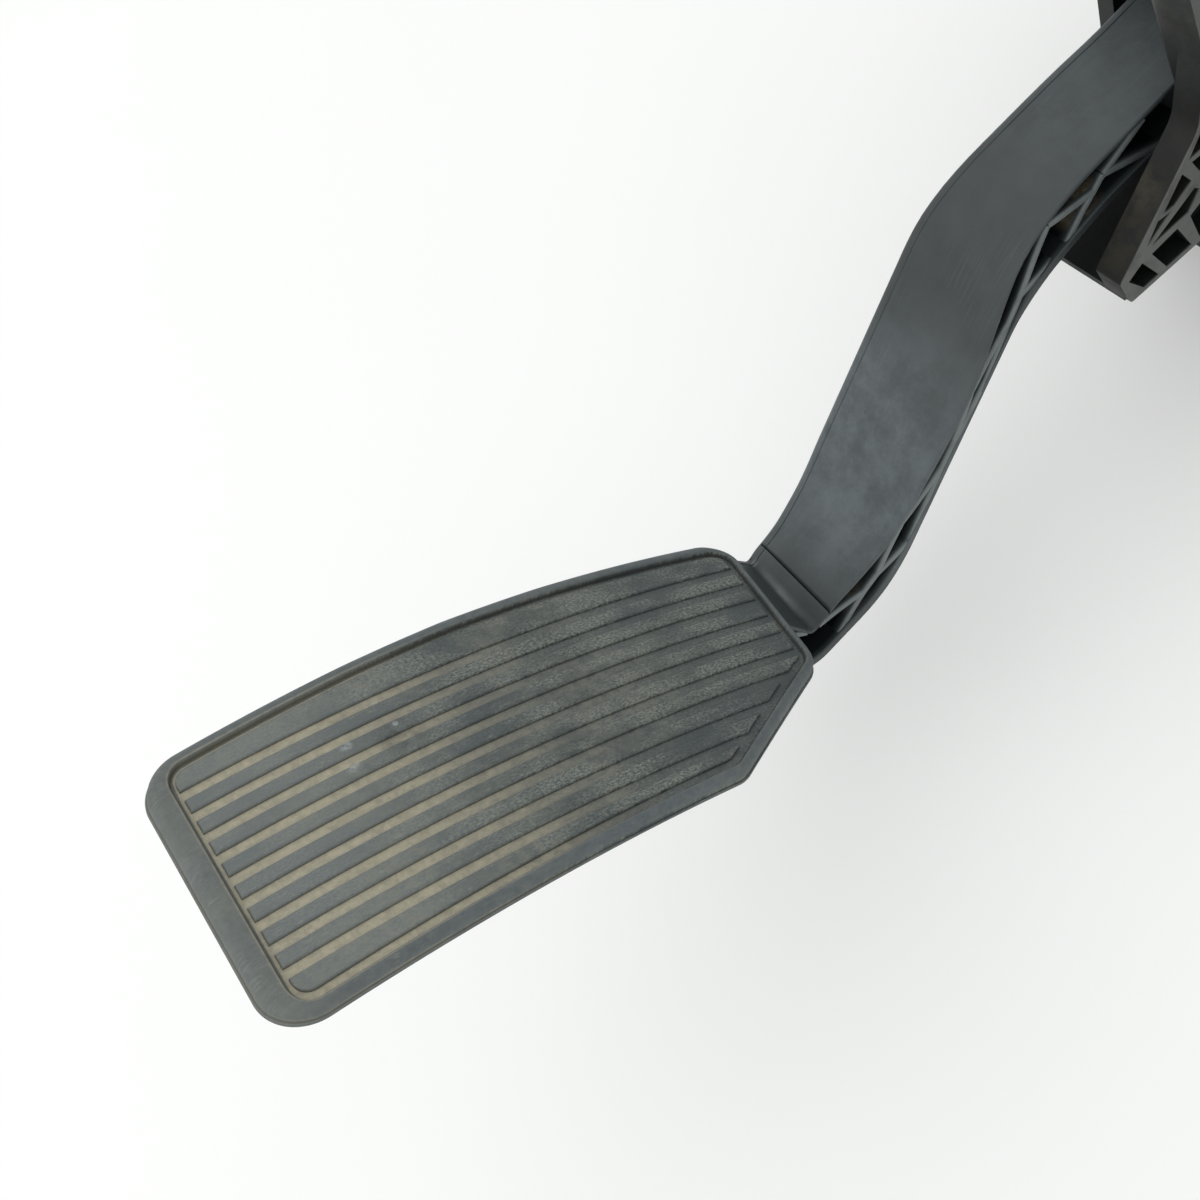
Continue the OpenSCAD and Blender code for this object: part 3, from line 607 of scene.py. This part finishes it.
@dataclass
class Dresser:
    """Builds each finish once and puts it on pieces and CAD nodes."""

    frame: dict
    made: dict[str, bpy.types.Material] = field(default_factory=dict)

    def material(self, finish: object) -> bpy.types.Material:
        """The finish's material, built when it is first asked for."""
        if finish.name not in self.made:
            self.made[finish.name] = finish.build()
        return self.made[finish.name]

    def wear(self, obj: bpy.types.Object, finish: object) -> None:
        """Gives an object one finish and no other."""
        obj.data.materials.clear()
        obj.data.materials.append(self.material(finish))

    def piece(self, obj: bpy.types.Object, body: str, slot: Slot, finish: object | None = None,
              stands_for: tuple[str, ...] = ()) -> None:
        """Seats a new piece in the frame.

        Args:
            obj: the piece, already in place.
            body: the CAD body it moves with.
            slot: the record's slot it belongs to.
            finish: its finish, if not the slot's own.
            stands_for: the CAD nodes it replaces.
        """
        self.wear(obj, finish or slot.value)
        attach(obj, body)
        if stands_for:
            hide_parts(*stands_for)
        LOG.info("%s: %d faces on %s", obj.name, len(obj.data.polygons), body)

    def nodes(self) -> None:
        """Gives every CAD node the finish of its slot in the record."""
        for sub in self.frame["record"]["subparts"]:
            self.wear(self.frame["nodes"][sub["node"]], Slot[sub["material_slot"]].value)


@dataclass
class TreadPad:
    """The curved foot pad: a low rim, a channel inside it and long lands with grooves between."""

    origin: Triple = (-198.0, 0.0, 105.5)
    tilt: float = 40.0
    crown: float = 300.0
    low: float = -58.9
    high: float = 62.8
    left: float = 7.5
    right: float = -47.5
    offset: float = -20.0
    edge: float = 2.4
    skirt: float = 5.5
    skirt_inset: float = 3.0
    rib: float = 1.6
    rims: Triple = (4.3, 2.8, 1.6)
    slimmer: float = 0.8
    rim_height: float = 0.6
    shoulder: float = 1.5
    channel: float = 1.1
    groove_depth: float = 0.6
    grooves: int = 9
    pitch: float = 4.7
    groove: float = 1.9
    spacing: float = 0.5
    plate_grid: tuple[int, int] = (120, 70)
    land_points: int = 150
    bar_points: int = 60

    def outline(self) -> np.ndarray:
        """The pad's plan outline in its own frame: a rounded rectangle with one corner cut off and a bulged side."""
        return resampled(rounded([
            (self.low, self.right - 0.1, 8.0), (self.high - 37.0, self.right + 2.1, 7.0),
            (self.high - 6.4, self.right + 19.0, 7.0), (self.high, self.left, 6.5),
            (0.0, self.left + 2.2, 500.0), (self.low + 1.5, self.left - 0.3, 8.0)]), self.spacing)

    def rim(self, inner: np.ndarray) -> np.ndarray:
        """The rim's nominal width by its inward normal, which places the lands: widest low, narrowest at the neck."""
        low, side, neck = self.rims
        return (side + (low - side) * np.clip(inner[:, 0], 0, 1) ** 2
                - (side - neck) * np.clip(-inner[:, 0], 0, 1) ** 2)

    def raised(self, inner: np.ndarray) -> np.ndarray:
        """The rim's width as built: along the right side the channel takes a part of it."""
        return self.rim(inner) - self.slimmer * np.clip(inner[:, 1], 0, 1) ** 2

    def lift(self, x: np.ndarray, y: np.ndarray, h: np.ndarray) -> np.ndarray:
        """Pad coordinates to the frame's: height h over a cylinder about Y, then the pad's tilt and place.

        Args:
            x: distance along the pad.
            y: distance across it.
            h: height over the crowned surface.

        Returns:
            Points in the frame.
        """
        z = np.sqrt((self.crown + h) ** 2 - x**2) - self.crown
        c, s = np.cos(np.radians(self.tilt)), np.sin(np.radians(self.tilt))
        return np.stack([self.origin[0] + c * x + s * z, self.origin[1] + y, self.origin[2] - s * x + c * z], -1)

    def sides(self, line: np.ndarray) -> tuple[np.ndarray, np.ndarray]:
        """Splits an outline at its two ends, so that each side can be interpolated along X.

        Args:
            line: a closed outline in pad coordinates.

        Returns:
            Its right and its left side, each sorted along X.
        """
        a, b = int(line[:, 0].argmin()), int(line[:, 0].argmax())
        loop = np.roll(line, -a, 0)
        b = (b - a) % len(line)
        return loop[: b + 1], loop[b:][::-1]

    def ring(self, shell: Shell, line: np.ndarray, inner: np.ndarray, away: np.ndarray, h: np.ndarray,
             depth: np.ndarray) -> None:
        """A closed profile carried round the outline.

        Args:
            shell: what it is added to.
            line: outline points.
            inner: their inward normals.
            away: distance from the edge, (outline points, profile points).
            h: the profile's heights.
            depth: the profile's depth marks.
        """
        flat = (line[:, None, :] + inner[:, None, :] * away[..., None])[:, ::-1]
        height = np.broadcast_to(h[::-1], flat.shape[:2])
        shell.tube(self.lift(flat[..., 0], flat[..., 1], height), True, uv=flat.reshape(-1, 2),
                   depth=np.broadcast_to(depth[::-1], height.shape).ravel())

    def add_rim(self, shell: Shell, line: np.ndarray, inner: np.ndarray) -> None:
        """Rim with a round shoulder and the channel inside it; its width follows the rim's."""
        r, top, floor = self.shoulder, self.rim_height, -self.groove_depth
        lip = [[0.6, -self.edge], [0.1, -self.edge], [0.0, -self.edge + 0.1], [0.0, -self.edge + 0.5],
               [0.1, -self.edge + 0.62], [0.34, -self.edge + 0.68], [0.4, -self.edge + 0.9]]
        outer = np.concatenate([lip, arc(r + 0.4, top - r, r, 180, 90, 9)])
        inside = np.array([[-1.2, top], [-0.5, top], [-0.3, top - 0.03], [-0.12, top - 0.12], [0.0, top - 0.32],
                           [0.06, floor + 0.2], [0.2, floor + 0.01], [0.5, floor + 0.01], [0.8, floor - 0.02],
                           [0.8, -self.edge]])
        width = self.raised(inner)
        away = np.concatenate([np.broadcast_to(outer[:, 0], (len(line), len(outer))), width[:, None] + inside[:, 0]], 1)
        away[:, : len(outer)] *= np.minimum(1.0, (width[:, None] - 0.52) / (r + 0.4))
        away[:, len(outer)] = np.maximum(away[:, len(outer)], away[:, len(outer) - 1] + 0.01)
        # Depth marks: painted shade in the crease under the lip and on the channel's wall and its foot, -1 on the
        # channel floor.
        depth = np.concatenate([[-0.3, -0.3, -0.3, -0.3, 0.3, 0.6, 0.25], np.full(9, -0.3),
                                [-0.3, -0.56, -0.66, -0.7, 0.3, 0.75, 0.6, 0.3, -1, -1]])
        self.ring(shell, line, inner, away, np.concatenate([outer[:, 1], inside[:, 1]]), depth)

    def add_floor(self, shell: Shell, line: np.ndarray, inner: np.ndarray) -> None:
        """The plate under the field: a grid between the outline's two long branches."""
        right, left = self.sides(line + inner * (self.raised(inner) + 0.3)[:, None])
        x = np.linspace(right[0, 0], right[-1, 0], self.plate_grid[0])
        low, high = level(right, x), level(left, x)
        gx = np.broadcast_to(x[:, None], self.plate_grid)
        gy = low[:, None] + (np.maximum(high, low + 0.2) - low)[:, None] * np.linspace(0, 1, self.plate_grid[1])
        uv = np.stack([gx, gy], -1).reshape(-1, 2)
        shell.block(self.lift(gx, gy, np.full_like(gy, -self.groove_depth)),
                    self.lift(gx, gy, np.full_like(gy, 0.02 - self.edge)),
                    uv=np.concatenate([uv, uv]), depth=-np.ones(2 * len(uv)))

    def add_lands(self, shell: Shell, line: np.ndarray, inner: np.ndarray) -> None:
        """Long lands: each runs between the field's two ends, with softly rounded top edges."""
        field_line = line + inner * (self.rim(inner) + self.channel)[:, None]
        right, left = self.sides(field_line)
        near, far = sorted(self.sides(field_line[:, ::-1]), key=lambda branch: branch[:, 1].mean())
        soft = np.array([0.0, 0.06, 0.16, 0.30, 0.46])
        sunk = np.array([0.42, 0.25, 0.11, 0.03, 0.0])
        edges = [self.offset + (k - (self.grooves - 1) / 2) * self.pitch for k in range(self.grooves)]
        lows = [field_line[:, 1].min()] + [e + self.groove / 2 for e in edges]
        highs = [e - self.groove / 2 for e in edges] + [field_line[:, 1].max()]
        for k, (y0, y1) in enumerate(zip(lows, highs)):
            width = y1 - y0
            across = np.concatenate([soft, np.linspace(soft[-1], width - soft[-1], 5)[1:-1], width - soft[::-1]])
            drop_t = np.concatenate([sunk, np.zeros(3), sunk[::-1]])
            nominal = y0 + np.clip(across, 0.05, width - 0.05)
            if k in (0, self.grooves):
                nominal = np.full_like(nominal, y1 - 0.05 if k == 0 else y0 + 0.05)
            start = level(near, nominal)
            end = level(far, nominal)
            u = (1 - np.cos(np.pi * np.linspace(0, 1, self.land_points)[1:-1])) / 2
            mid = (start + soft[-1]) + (end - start - 2 * soft[-1]) * u[:, None]
            x = np.concatenate([start + soft[:, None], mid, end - soft[::-1, None]])
            drop_s = np.concatenate([sunk, np.zeros(len(u)), sunk[::-1]])
            y_low = level(right, x) if k == 0 else np.full_like(x, y0)
            y_high = level(left, x) if k == self.grooves else np.full_like(x, y1)
            y = y_low + (y_high - y_low) * (across / width)
            drop = np.maximum(drop_s[:, None], drop_t)
            uv = np.stack([x, y], -1).reshape(-1, 2)
            # Depth marks: painted shade on the lands' rounded edges, 1 underneath.
            depth = np.clip(drop / sunk[0] - 0.15, 0, 1).ravel() * 0.5
            shell.block(self.lift(x, y, -drop), self.lift(x, y, np.full_like(x, -self.groove_depth - 0.5)),
                        uv=np.concatenate([uv, uv]), depth=np.concatenate([depth, np.ones_like(depth)]))

    def add_underside(self, shell: Shell, line: np.ndarray, inner: np.ndarray) -> None:
        """Stiffening ribs under the plate: one all round, and others that cross it both ways."""
        top, low, half = 0.4 - self.edge, -self.skirt, self.rib / 2
        near = self.skirt_inset + 2.5 * np.clip(-inner[:, :1], 0, 1) ** 2
        away = near + np.array([0.0, 0.0, self.rib, self.rib])
        self.ring(shell, line, inner, away, np.array([low, top, top, low]), np.full(4, -0.3))
        right, left = self.sides(line + inner * (self.skirt_inset + 0.3))
        bars: list[tuple[np.ndarray, np.ndarray]] = []
        for k in (-1, 0, 1):
            y = self.offset + 14.0 * k
            branch = right[len(right) // 2:]
            end = right[-1, 0] - 2.5 if y > self.right + 22 else float(np.interp(y, branch[:, 1], branch[:, 0])) - 1.0
            shape = (self.bar_points, 2)
            x = np.broadcast_to(np.linspace(right[0, 0], end, shape[0])[:, None], shape)
            bars.append((x, np.broadcast_to(np.array([y - half, y + half]), shape)))
        for x0 in np.arange(self.low + 20, self.high - 10, 20):
            y0, y1 = level(right, x0), level(left, x0)
            x = np.broadcast_to(np.array([x0 - half, x0 + half])[:, None], (2, 20))
            bars.append((x, np.broadcast_to(np.linspace(y0, y1, 20), (2, 20))))
        for x, y in bars:
            shell.block(self.lift(x, y, np.full(x.shape, top)), self.lift(x, y, np.full(x.shape, low)))

    def build(self, dresser: Dresser) -> None:
        """Makes the pad as one piece that stands for its share of the arm's moulding."""
        line = self.outline()
        inner = inward(line)
        shell = Shell()
        for add in (self.add_rim, self.add_floor, self.add_lands, self.add_underside):
            add(shell, line, inner)
        dresser.piece(shell.make("tread_pad"), "pedal", Slot.slate_plastic, TreadPlastic(), ("pedal_arm",))


@dataclass
class CrankedArm:
    """The arm between pad and housing: a channel open to one side, filled by crossed ribs."""

    right: Table = ((-210, 11.3), (-157, 11.6), (-152, 11.4), (-149, 10.9), (-141.5, 11.2), (-134.8, 12.0),
                    (-128, 12.9), (-117.8, 13.6), (-110, 14.0), (-102.5, 13.8), (-88.8, 11.5), (-82, 10.3), (0, 10.3))
    left: Table = ((-210, 6.0), (-166, 6.5), (-157, 11.9), (-148, 12.0), (-140, 13.0), (-130, 14.0), (-90, 14.0),
                   (-80, 12.6), (-70, 11.3), (-55, 11.0), (-44, 10.3), (0, 10.3))
    flange: Table = ((-210, 12.3), (-140, 12.3), (-130, 11.9), (-84, 12.1), (-66, 10.3), (0, 10.3))
    front_plate: float = 2.4
    back_flange: float = 2.2
    side_wall: float = 2.2
    rounding: float = 2.0
    brace: float = 1.6
    recess: float = 0.3
    half: float = 10.3
    slant: float = 0.076
    shear: Table = ((-178, 0), (-164, 1), (-154.5, 1), (-149.5, 0.53), (-140, 0))
    rings: int = 430
    parting: float = -149.5
    edge: float = 1.2
    pivot: tuple[float, float] = (-15.0, 70.0)
    hub: float = 13.5
    lever: float = 42.0
    front: Corners = ((-186.0, 92.4, 0), (-170.7, 77.0, 30), (-158.5, 60.0, 4), (-154.2, 43.3, 1.8),
                      (-136.6, 44.9, 36), (-78.2, 82.8, 47), (-12.0, 80.5, 0))
    back: Corners = ((-189.7, 87.4, 0), (-178.0, 66.1, 60), (-169.0, 49.7, 60), (-160.5, 34.2, 9),
                     (-136.4, 34.2, 31), (-85.6, 71.1, 22), (-12.0, 67.0, 0))
    front_feet: tuple[float, ...] = (-153.5, -128.5, -104.0, -76.0, -52.0)
    back_feet: tuple[float, ...] = (-152.0, -129.5, -100.0, -74.5, -50.0)
    joints: tuple[tuple[float, float, float, float], ...] = (
        (-142.6, 39.1, -138.2, 40.4), (-116.0, 52.0, -112.0, 55.0), (-91.2, 69.2, -86.7, 72.2),
        (-65.5, 76.0, -62.7, 77.5))

    @staticmethod
    def eased(table: Table, x: np.ndarray) -> np.ndarray:
        """Reads a table whose corners are smoothed by a running mean over 8 mm.

        Args:
            table: (x, value) pairs, sorted along X.
            x: where it is read.

        Returns:
            The values at x.
        """
        grid = np.arange(-230.0, 20.0, 0.5)
        line = np.interp(grid, *np.array(table, float).T)
        return np.interp(x, grid, np.convolve(np.pad(line, 8, mode="edge"), np.ones(17) / 17, "valid"))

    @staticmethod
    def keyed(corners: Corners, spacing: float) -> tuple[np.ndarray, np.ndarray]:
        """Rounds a line and numbers its points by the corners they have passed.

        Args:
            corners: (x, z, radius) of each corner.
            spacing: distance between the line's points.

        Returns:
            The points, and for each a parameter that grows by 1 from corner to corner.
        """
        line = rounded(corners, closed=False)
        s = lengths(line)
        keys = [s[int(np.hypot(*(line - np.array(c[:2])).T).argmin())] for c in corners]
        t = np.arange(0, s[-1] + spacing, spacing)
        pts = np.stack([np.interp(t, s, line[:, k]) for k in (0, 1)], 1)
        return pts, np.interp(t, keys, np.arange(len(keys)))

    def sheared(self, points: np.ndarray) -> np.ndarray:
        """Points with the neck's wall turned to lie along the pad's end: x grows by slant * y there."""
        share = np.interp(points[..., 0], *np.array(self.shear, float).T)
        return points + np.stack([self.slant * points[..., 1] * share, 0 * share, 0 * share], -1)

    def stations(self, keys: np.ndarray, xs: np.ndarray) -> np.ndarray:
        """Even stations along the arm, with closer ones round the parting line.

        Args:
            keys: the front line's parameter, per point.
            xs: the front line's X, per point.

        Returns:
            The parameter of each station.
        """
        even = np.interp(np.linspace(0, len(keys) - 1, self.rings), np.arange(len(keys)), keys)
        tail = keys > 2.6
        fine = np.interp(self.parting + np.array([-0.5, -0.28, -0.2, 0.0, 0.2, 0.28, 0.5]), xs[tail], keys[tail])
        clear = even[(even < fine[0] - 0.004) | (even > fine[-1] + 0.004)]
        return np.sort(np.concatenate([clear, fine]))

    def add_channel(self, shell: Shell) -> None:
        """The channel: a C profile between the front and back lines, carried along the arm.

        A row of the profile is its distance from the front or back line, the edge its Y starts from (-1 right,
        1 left, -2 the flange's, 0 the middle), its Y from there, and its depth mark: above 0 paints shade, below 0
        takes the lighter edge colour of wear and painted highlight. The lip adds the parting groove, with painted
        shade in it, and the step beside it, and a painted highlight runs along the crease where the neck meets the arm.

        Args:
            shell: what it is added to.
        """
        front, front_key = self.keyed(self.front, 0.4)
        back, back_key = self.keyed(self.back, 0.4)
        key = self.stations(front_key, front[:, 0])
        f = np.stack([np.interp(key, front_key, front[:, k]) for k in (0, 1)], 1)
        b = np.stack([np.interp(key, back_key, back[:, k]) for k in (0, 1)], 1)
        depth = np.hypot(*(b - f).T)
        mid = (f[:, 0] + b[:, 0]) / 2
        wide = {-1: self.eased(self.right, f[:, 0]), 1: self.eased(self.left, mid),
                -2: self.eased(self.flange, b[:, 0]), 0: np.zeros(len(key))}
        r, tf, tb, ts, e = self.rounding, self.front_plate, self.back_flange, self.side_wall, 0.25
        bend = np.radians(np.linspace(15, 90, 6))
        # Depth marks: above 0 paint shade, below 0 take the edge colour of wear and painted highlight.
        outer = [(0.0, -1, e, -0.6), (0.0, -1, 0.7, -0.1), (0.0, -1, 3.0, 0), (0.0, 0, 0.0, 0), (0.0, 1, -r - 1.2, 0),
                 (0.0, 1, -r - 0.5, 0), (0.14, 1, -r - 0.34, 0.45), (0.0, 1, -r - 0.18, 0), (0.0, 1, -r, 0)]
        outer += [(r - r * np.cos(a), 1, -r + r * np.sin(a), -0.7) for a in bend]
        rear = [(r - r * np.cos(a), 1, -r + r * np.sin(a), 0) for a in bend[::-1]]
        rear += [(0.0, 1, -r, 0), (0.0, 0, 0.0, 0), (0.0, -2, e, -0.2), (e, -2, 0.0, -0.7), (tb - e, -2, 0.0, -0.7),
                 (tb, -2, e, 0), (tb, -2, 1.5, 0.8), (tb, 1, -ts - 0.8, 1), (tb + 0.8, 1, -ts, 1)]
        inner = [(tf + 0.8, 1, -ts, 1), (tf, 1, -ts - 0.8, 1), (tf, -1, 6.0, 1), (self.edge + 0.4, -1, 1.5, 0.8),
                 (self.edge, -1, e, 0), (self.edge - e, -1, 0.0, -0.8), (e, -1, 0.0, -0.8)]
        rows = np.array(outer + rear + inner)
        far = np.zeros(len(rows))
        far[len(outer): len(outer) + len(rear)] = 1.0
        down = far * depth[:, None] + (1 - 2 * far) * rows[:, 0]
        past = f[:, 0] - self.parting
        lip = np.exp(-((past / 0.24) ** 4)) * 0.5 + 0.09 * (1 - np.tanh(past / 0.16))
        lip *= (f[:, 1] < 46) * (f[:, 0] < -140)
        facing = (far == 0) & (rows[:, 0] < 0.3)
        down += lip[:, None] * facing
        y = np.stack([np.sign(s) * wide[int(s)] for s in rows[:, 1]], 1) + rows[:, 2]
        unit = (b - f) / depth[:, None]
        x, z = f[:, :1] + unit[:, :1] * down, f[:, 1:] + unit[:, 1:] * down
        # painted shade in the parting groove
        marks = np.maximum(np.broadcast_to(rows[:, 3], x.shape), (lip[:, None] > 0.35) * facing * 0.9)
        # painted highlight: a glint along the crease where the neck meets the arm, in the lighter edge colour
        painted_fold_glint = np.exp(-(np.hypot(f[:, 0] + 153.7, f[:, 1] - 43.8) / 0.75) ** 2)
        marks = marks - 0.95 * painted_fold_glint[:, None] * ((rows[:, 1] >= 0) & (rows[:, 2] > -r - 1) & facing & (rows[:, 3] == 0))
        shell.tube(self.sheared(np.stack([x, y, z], -1)), depth=marks.ravel())

    def add_braces(self, shell: Shell) -> None:
        """Crossed ribs: each pair runs from the plates into a common joint, and their open edges are rounded.

        A row of a rib's profile is its offset across the rib, the side its Y starts from (1 the closed wall,
        -1 the open edge), its Y from there, and its depth mark.

        Args:
            shell: what they are added to.
        """
        front, back = rounded(self.front, closed=False), rounded(self.back, closed=False)
        front, back = front[(front[:, 1] < 84) & (front[:, 0] > -150)], back[back[:, 0] > -159]
        bars: list[tuple[np.ndarray, np.ndarray]] = []
        for i, (x0, z0, x1, z1) in enumerate(self.joints):
            low, high = np.array([x0, z0]), np.array([x1, z1])
            bars.append((low, high))
            for node, k in ((low, i), (high, i + 1)):
                fx, bx = self.front_feet[k], self.back_feet[k]
                bars.append((node, np.array([fx, level(front, fx) - 1.6])))
                bars.append((node, np.array([bx, level(back, bx) + 1.2])))
        bars.append((np.array([-156.0, 44.0]), np.array([-176.0, 73.0])))
        for p, q in bars:
            mid = p + (q - p) * np.linspace(0, 1, 12)[:, None]
            u = (q - p) / np.hypot(*(q - p))
            n = np.array([-u[1], u[0]])
            top = level(front, mid[:, 0])
            share = np.clip((top - mid[:, 1]) / (top - level(back, mid[:, 0])), 0, 1)
            plate, flange = self.eased(self.right, mid[:, 0]), self.eased(self.flange, mid[:, 0])
            open_side = plate + (flange - plate) * share - self.recess
            t, e = self.brace / 2, 0.35
            # Depth marks: painted shade towards the closed wall, lighter edge colour of wear and painted highlight on
            # the open edges.
            rows = np.array([[t, 1, 0, 1], [t, -1, 2.2, 1], [t, -1, 0.9, 0.5], [t, -1, e, -0.2],
                             [t - 0.12, -1, 0.12, -0.6], [t - e, -1, 0, -0.8]])
            rows = np.concatenate([rows, rows[::-1] * [-1, 1, 1, 1]])
            closed = self.eased(self.left, mid[:, 0])[:, None] - 1.2
            y = np.where(rows[:, 1] > 0, closed, rows[:, 2] - open_side[:, None])
            xz = mid[:, None, :] + n * rows[None, :, :1]
            shell.tube(np.stack([xz[..., 0], y, xz[..., 1]], -1),
                       depth=np.broadcast_to(rows[:, 3], y.shape).ravel())

    def add_root(self, shell: Shell) -> None:
        """Hub round the shaft, and the rear lever that the springs press."""
        px, pz = self.pivot
        shell.prism(arc(px, pz, self.hub, 0, 356.25, 96), -self.half, self.half, 0.5)
        tip = np.degrees(np.arcsin([-14 / self.lever, -3 / self.lever]))
        lever = np.concatenate([
            rounded([(-44.0, 68.8, 0), (px - 8, 60.0, 4), (px + 6, pz - 14, 6)], closed=False),
            arc(px, pz, self.lever, tip[0], tip[1], 10),
            rounded([(px + 13, pz - 3, 0), (-12.0, 79.6, 0), (-44.0, 79.6, 0)], closed=False)])
        shell.prism(lever, -self.half + 0.05, self.half - 0.05, 0.4)

    def build(self, dresser: Dresser) -> None:
        """Makes the channel, its ribs and the root as pieces of the same moulding."""
        for name, add in (("channel", self.add_channel), ("braces", self.add_braces), ("root", self.add_root)):
            shell = Shell()
            add(shell)
            dresser.piece(shell.make("arm_" + name), "pedal", Slot.slate_plastic, None, ("pedal_arm",))


@dataclass
class Housing:
    """The housing: the CAD moulding with its edges eased."""

    ease: float = 0.35

    def build(self, dresser: Dresser) -> None:
        """Copies the CAD mesh, merges it, joins its flat faces and bevels its edges."""
        for node in ("housing", "sensor_cover"):
            obj = placed(node + "_moulding", dresser.frame["nodes"][node].data.copy())
            tidy = bmesh.new()
            tidy.from_mesh(obj.data)
            bmesh.ops.remove_doubles(tidy, verts=tidy.verts, dist=1e-6)
            bmesh.ops.dissolve_limit(tidy, angle_limit=np.radians(0.5), verts=tidy.verts, edges=tidy.edges)
            tidy.to_mesh(obj.data)
            tidy.free()
            obj.data.shade_smooth()
            obj.data.set_sharp_from_angle(angle=np.radians(30))
            bevel = obj.modifiers.new("eased_edges", "BEVEL")
            bevel.width, bevel.segments, bevel.limit_method = self.ease * MM, 2, "ANGLE"
            bevel.angle_limit, bevel.use_clamp_overlap, bevel.harden_normals = np.radians(35), True, True
            dresser.piece(obj, "housing", Slot.dark_plastic, None, (node,))


@dataclass(frozen=True)
class Viewpoint:
    """The photograph's camera, fitted to the pad and the arm."""

    place: Triple = (-155.7, -164.2, 319.3)
    right: Triple = (0.67999, -0.56784, -0.46386)
    up: Triple = (0.72943, 0.58811, 0.34936)
    back: Triple = (0.07442, -0.57592, 0.81411)
    lens: float = 48.0

    def build(self) -> bpy.types.Object:
        """Makes the camera and sets it as the scene's."""
        data = bpy.data.cameras.new("camera")
        data.lens, data.sensor_width, data.clip_start = self.lens, 36.0, 0.01
        cam = placed("camera", data)
        turned = Matrix((self.right, self.up, self.back)).transposed().to_4x4()
        cam.matrix_world = Matrix.Translation(Vector(self.place) * MM) @ turned
        bpy.context.scene.camera = cam
        return cam


@dataclass(frozen=True)
class Studio:
    """A plain pale floor under soft light from above."""

    floor: Triple = (0.84, 0.85, 0.84)
    backdrop: Triple = (0.93, 0.94, 0.935)
    ambient: float = 0.86
    reach: float = 4000.0
    thick: float = 20.0

    def lamp(self, name: str, place: Triple, size: float, power: float) -> None:
        """A square area lamp that faces the object.

        Args:
            name: the lamp's name.
            place: its place in metres.
            size: its side in metres.
            power: its power in watts.
        """
        data = bpy.data.lights.new(name, "AREA")
        data.shape, data.size, data.energy = "SQUARE", size, power
        obj = placed(name, data)
        obj.location = place
        aim = Vector((-0.1, 0.0, 0.05)) - Vector(place)
        obj.rotation_euler = aim.to_track_quat("-Z", "Y").to_euler()

    def build(self) -> None:
        """Makes the floor, the world and the lamps.

        The world shows the plain backdrop to the camera and in reflections, and lights all else evenly.
        """
        shell = Shell()
        r = self.reach
        grid = np.array([[[-r, -r, 0], [-r, r, 0]], [[r, -r, 0], [r, r, 0]]], float)
        shell.block(grid, grid - [0, 0, self.thick])
        floor = shell.make("floor")
        g, at = started("floor_paper")
        shade = rgba(tuple(0.985 * c for c in self.floor))
        colour = g.mix(g.ramp(g.noise(at, 3.0, 2.0), 0.3, 0.7), shade, rgba(self.floor))
        floor.data.materials.append(g.surface(Base_Color=colour, Roughness=0.9, Specular_IOR_Level=0.1))
        world = Graph(bpy.data.worlds.new("studio"), "World")
        bpy.context.scene.world = world.owner
        path = world.node("LightPath").outputs
        seen = world.math("MAXIMUM", path["Is Camera Ray"], path["Is Glossy Ray"])
        seen = world.math("MAXIMUM", seen, path["Is Transmission Ray"])
        light = world.node("Background", {0: rgba((1.0, 1.0, 1.0)), 1: self.ambient})
        sky = world.node("Background", {0: rgba(self.backdrop), 1: 1.0})
        mixed = world.node("MixShader", {0: seen, 1: light.outputs[0], 2: sky.outputs[0]})
        world.tree.links.new(mixed.outputs[0], world.output.inputs[0])
        self.lamp("key", (-0.45, 0.55, 1.5), 2.2, 10.5)
        self.lamp("fill", (-0.9, -0.9, 1.2), 2.0, 5.0)


def main() -> None:
    """Builds the classes in order and reports each piece."""
    logging.basicConfig(level=logging.INFO, format="%(message)s")
    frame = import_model()
    bpy.context.scene.view_settings.view_transform = "Standard"
    Viewpoint().build()
    dresser = Dresser(frame)
    dresser.nodes()
    TreadPad().build(dresser)
    CrankedArm().build(dresser)
    Housing().build(dresser)
    Studio().build()


if __name__ == "__main__":
    main()
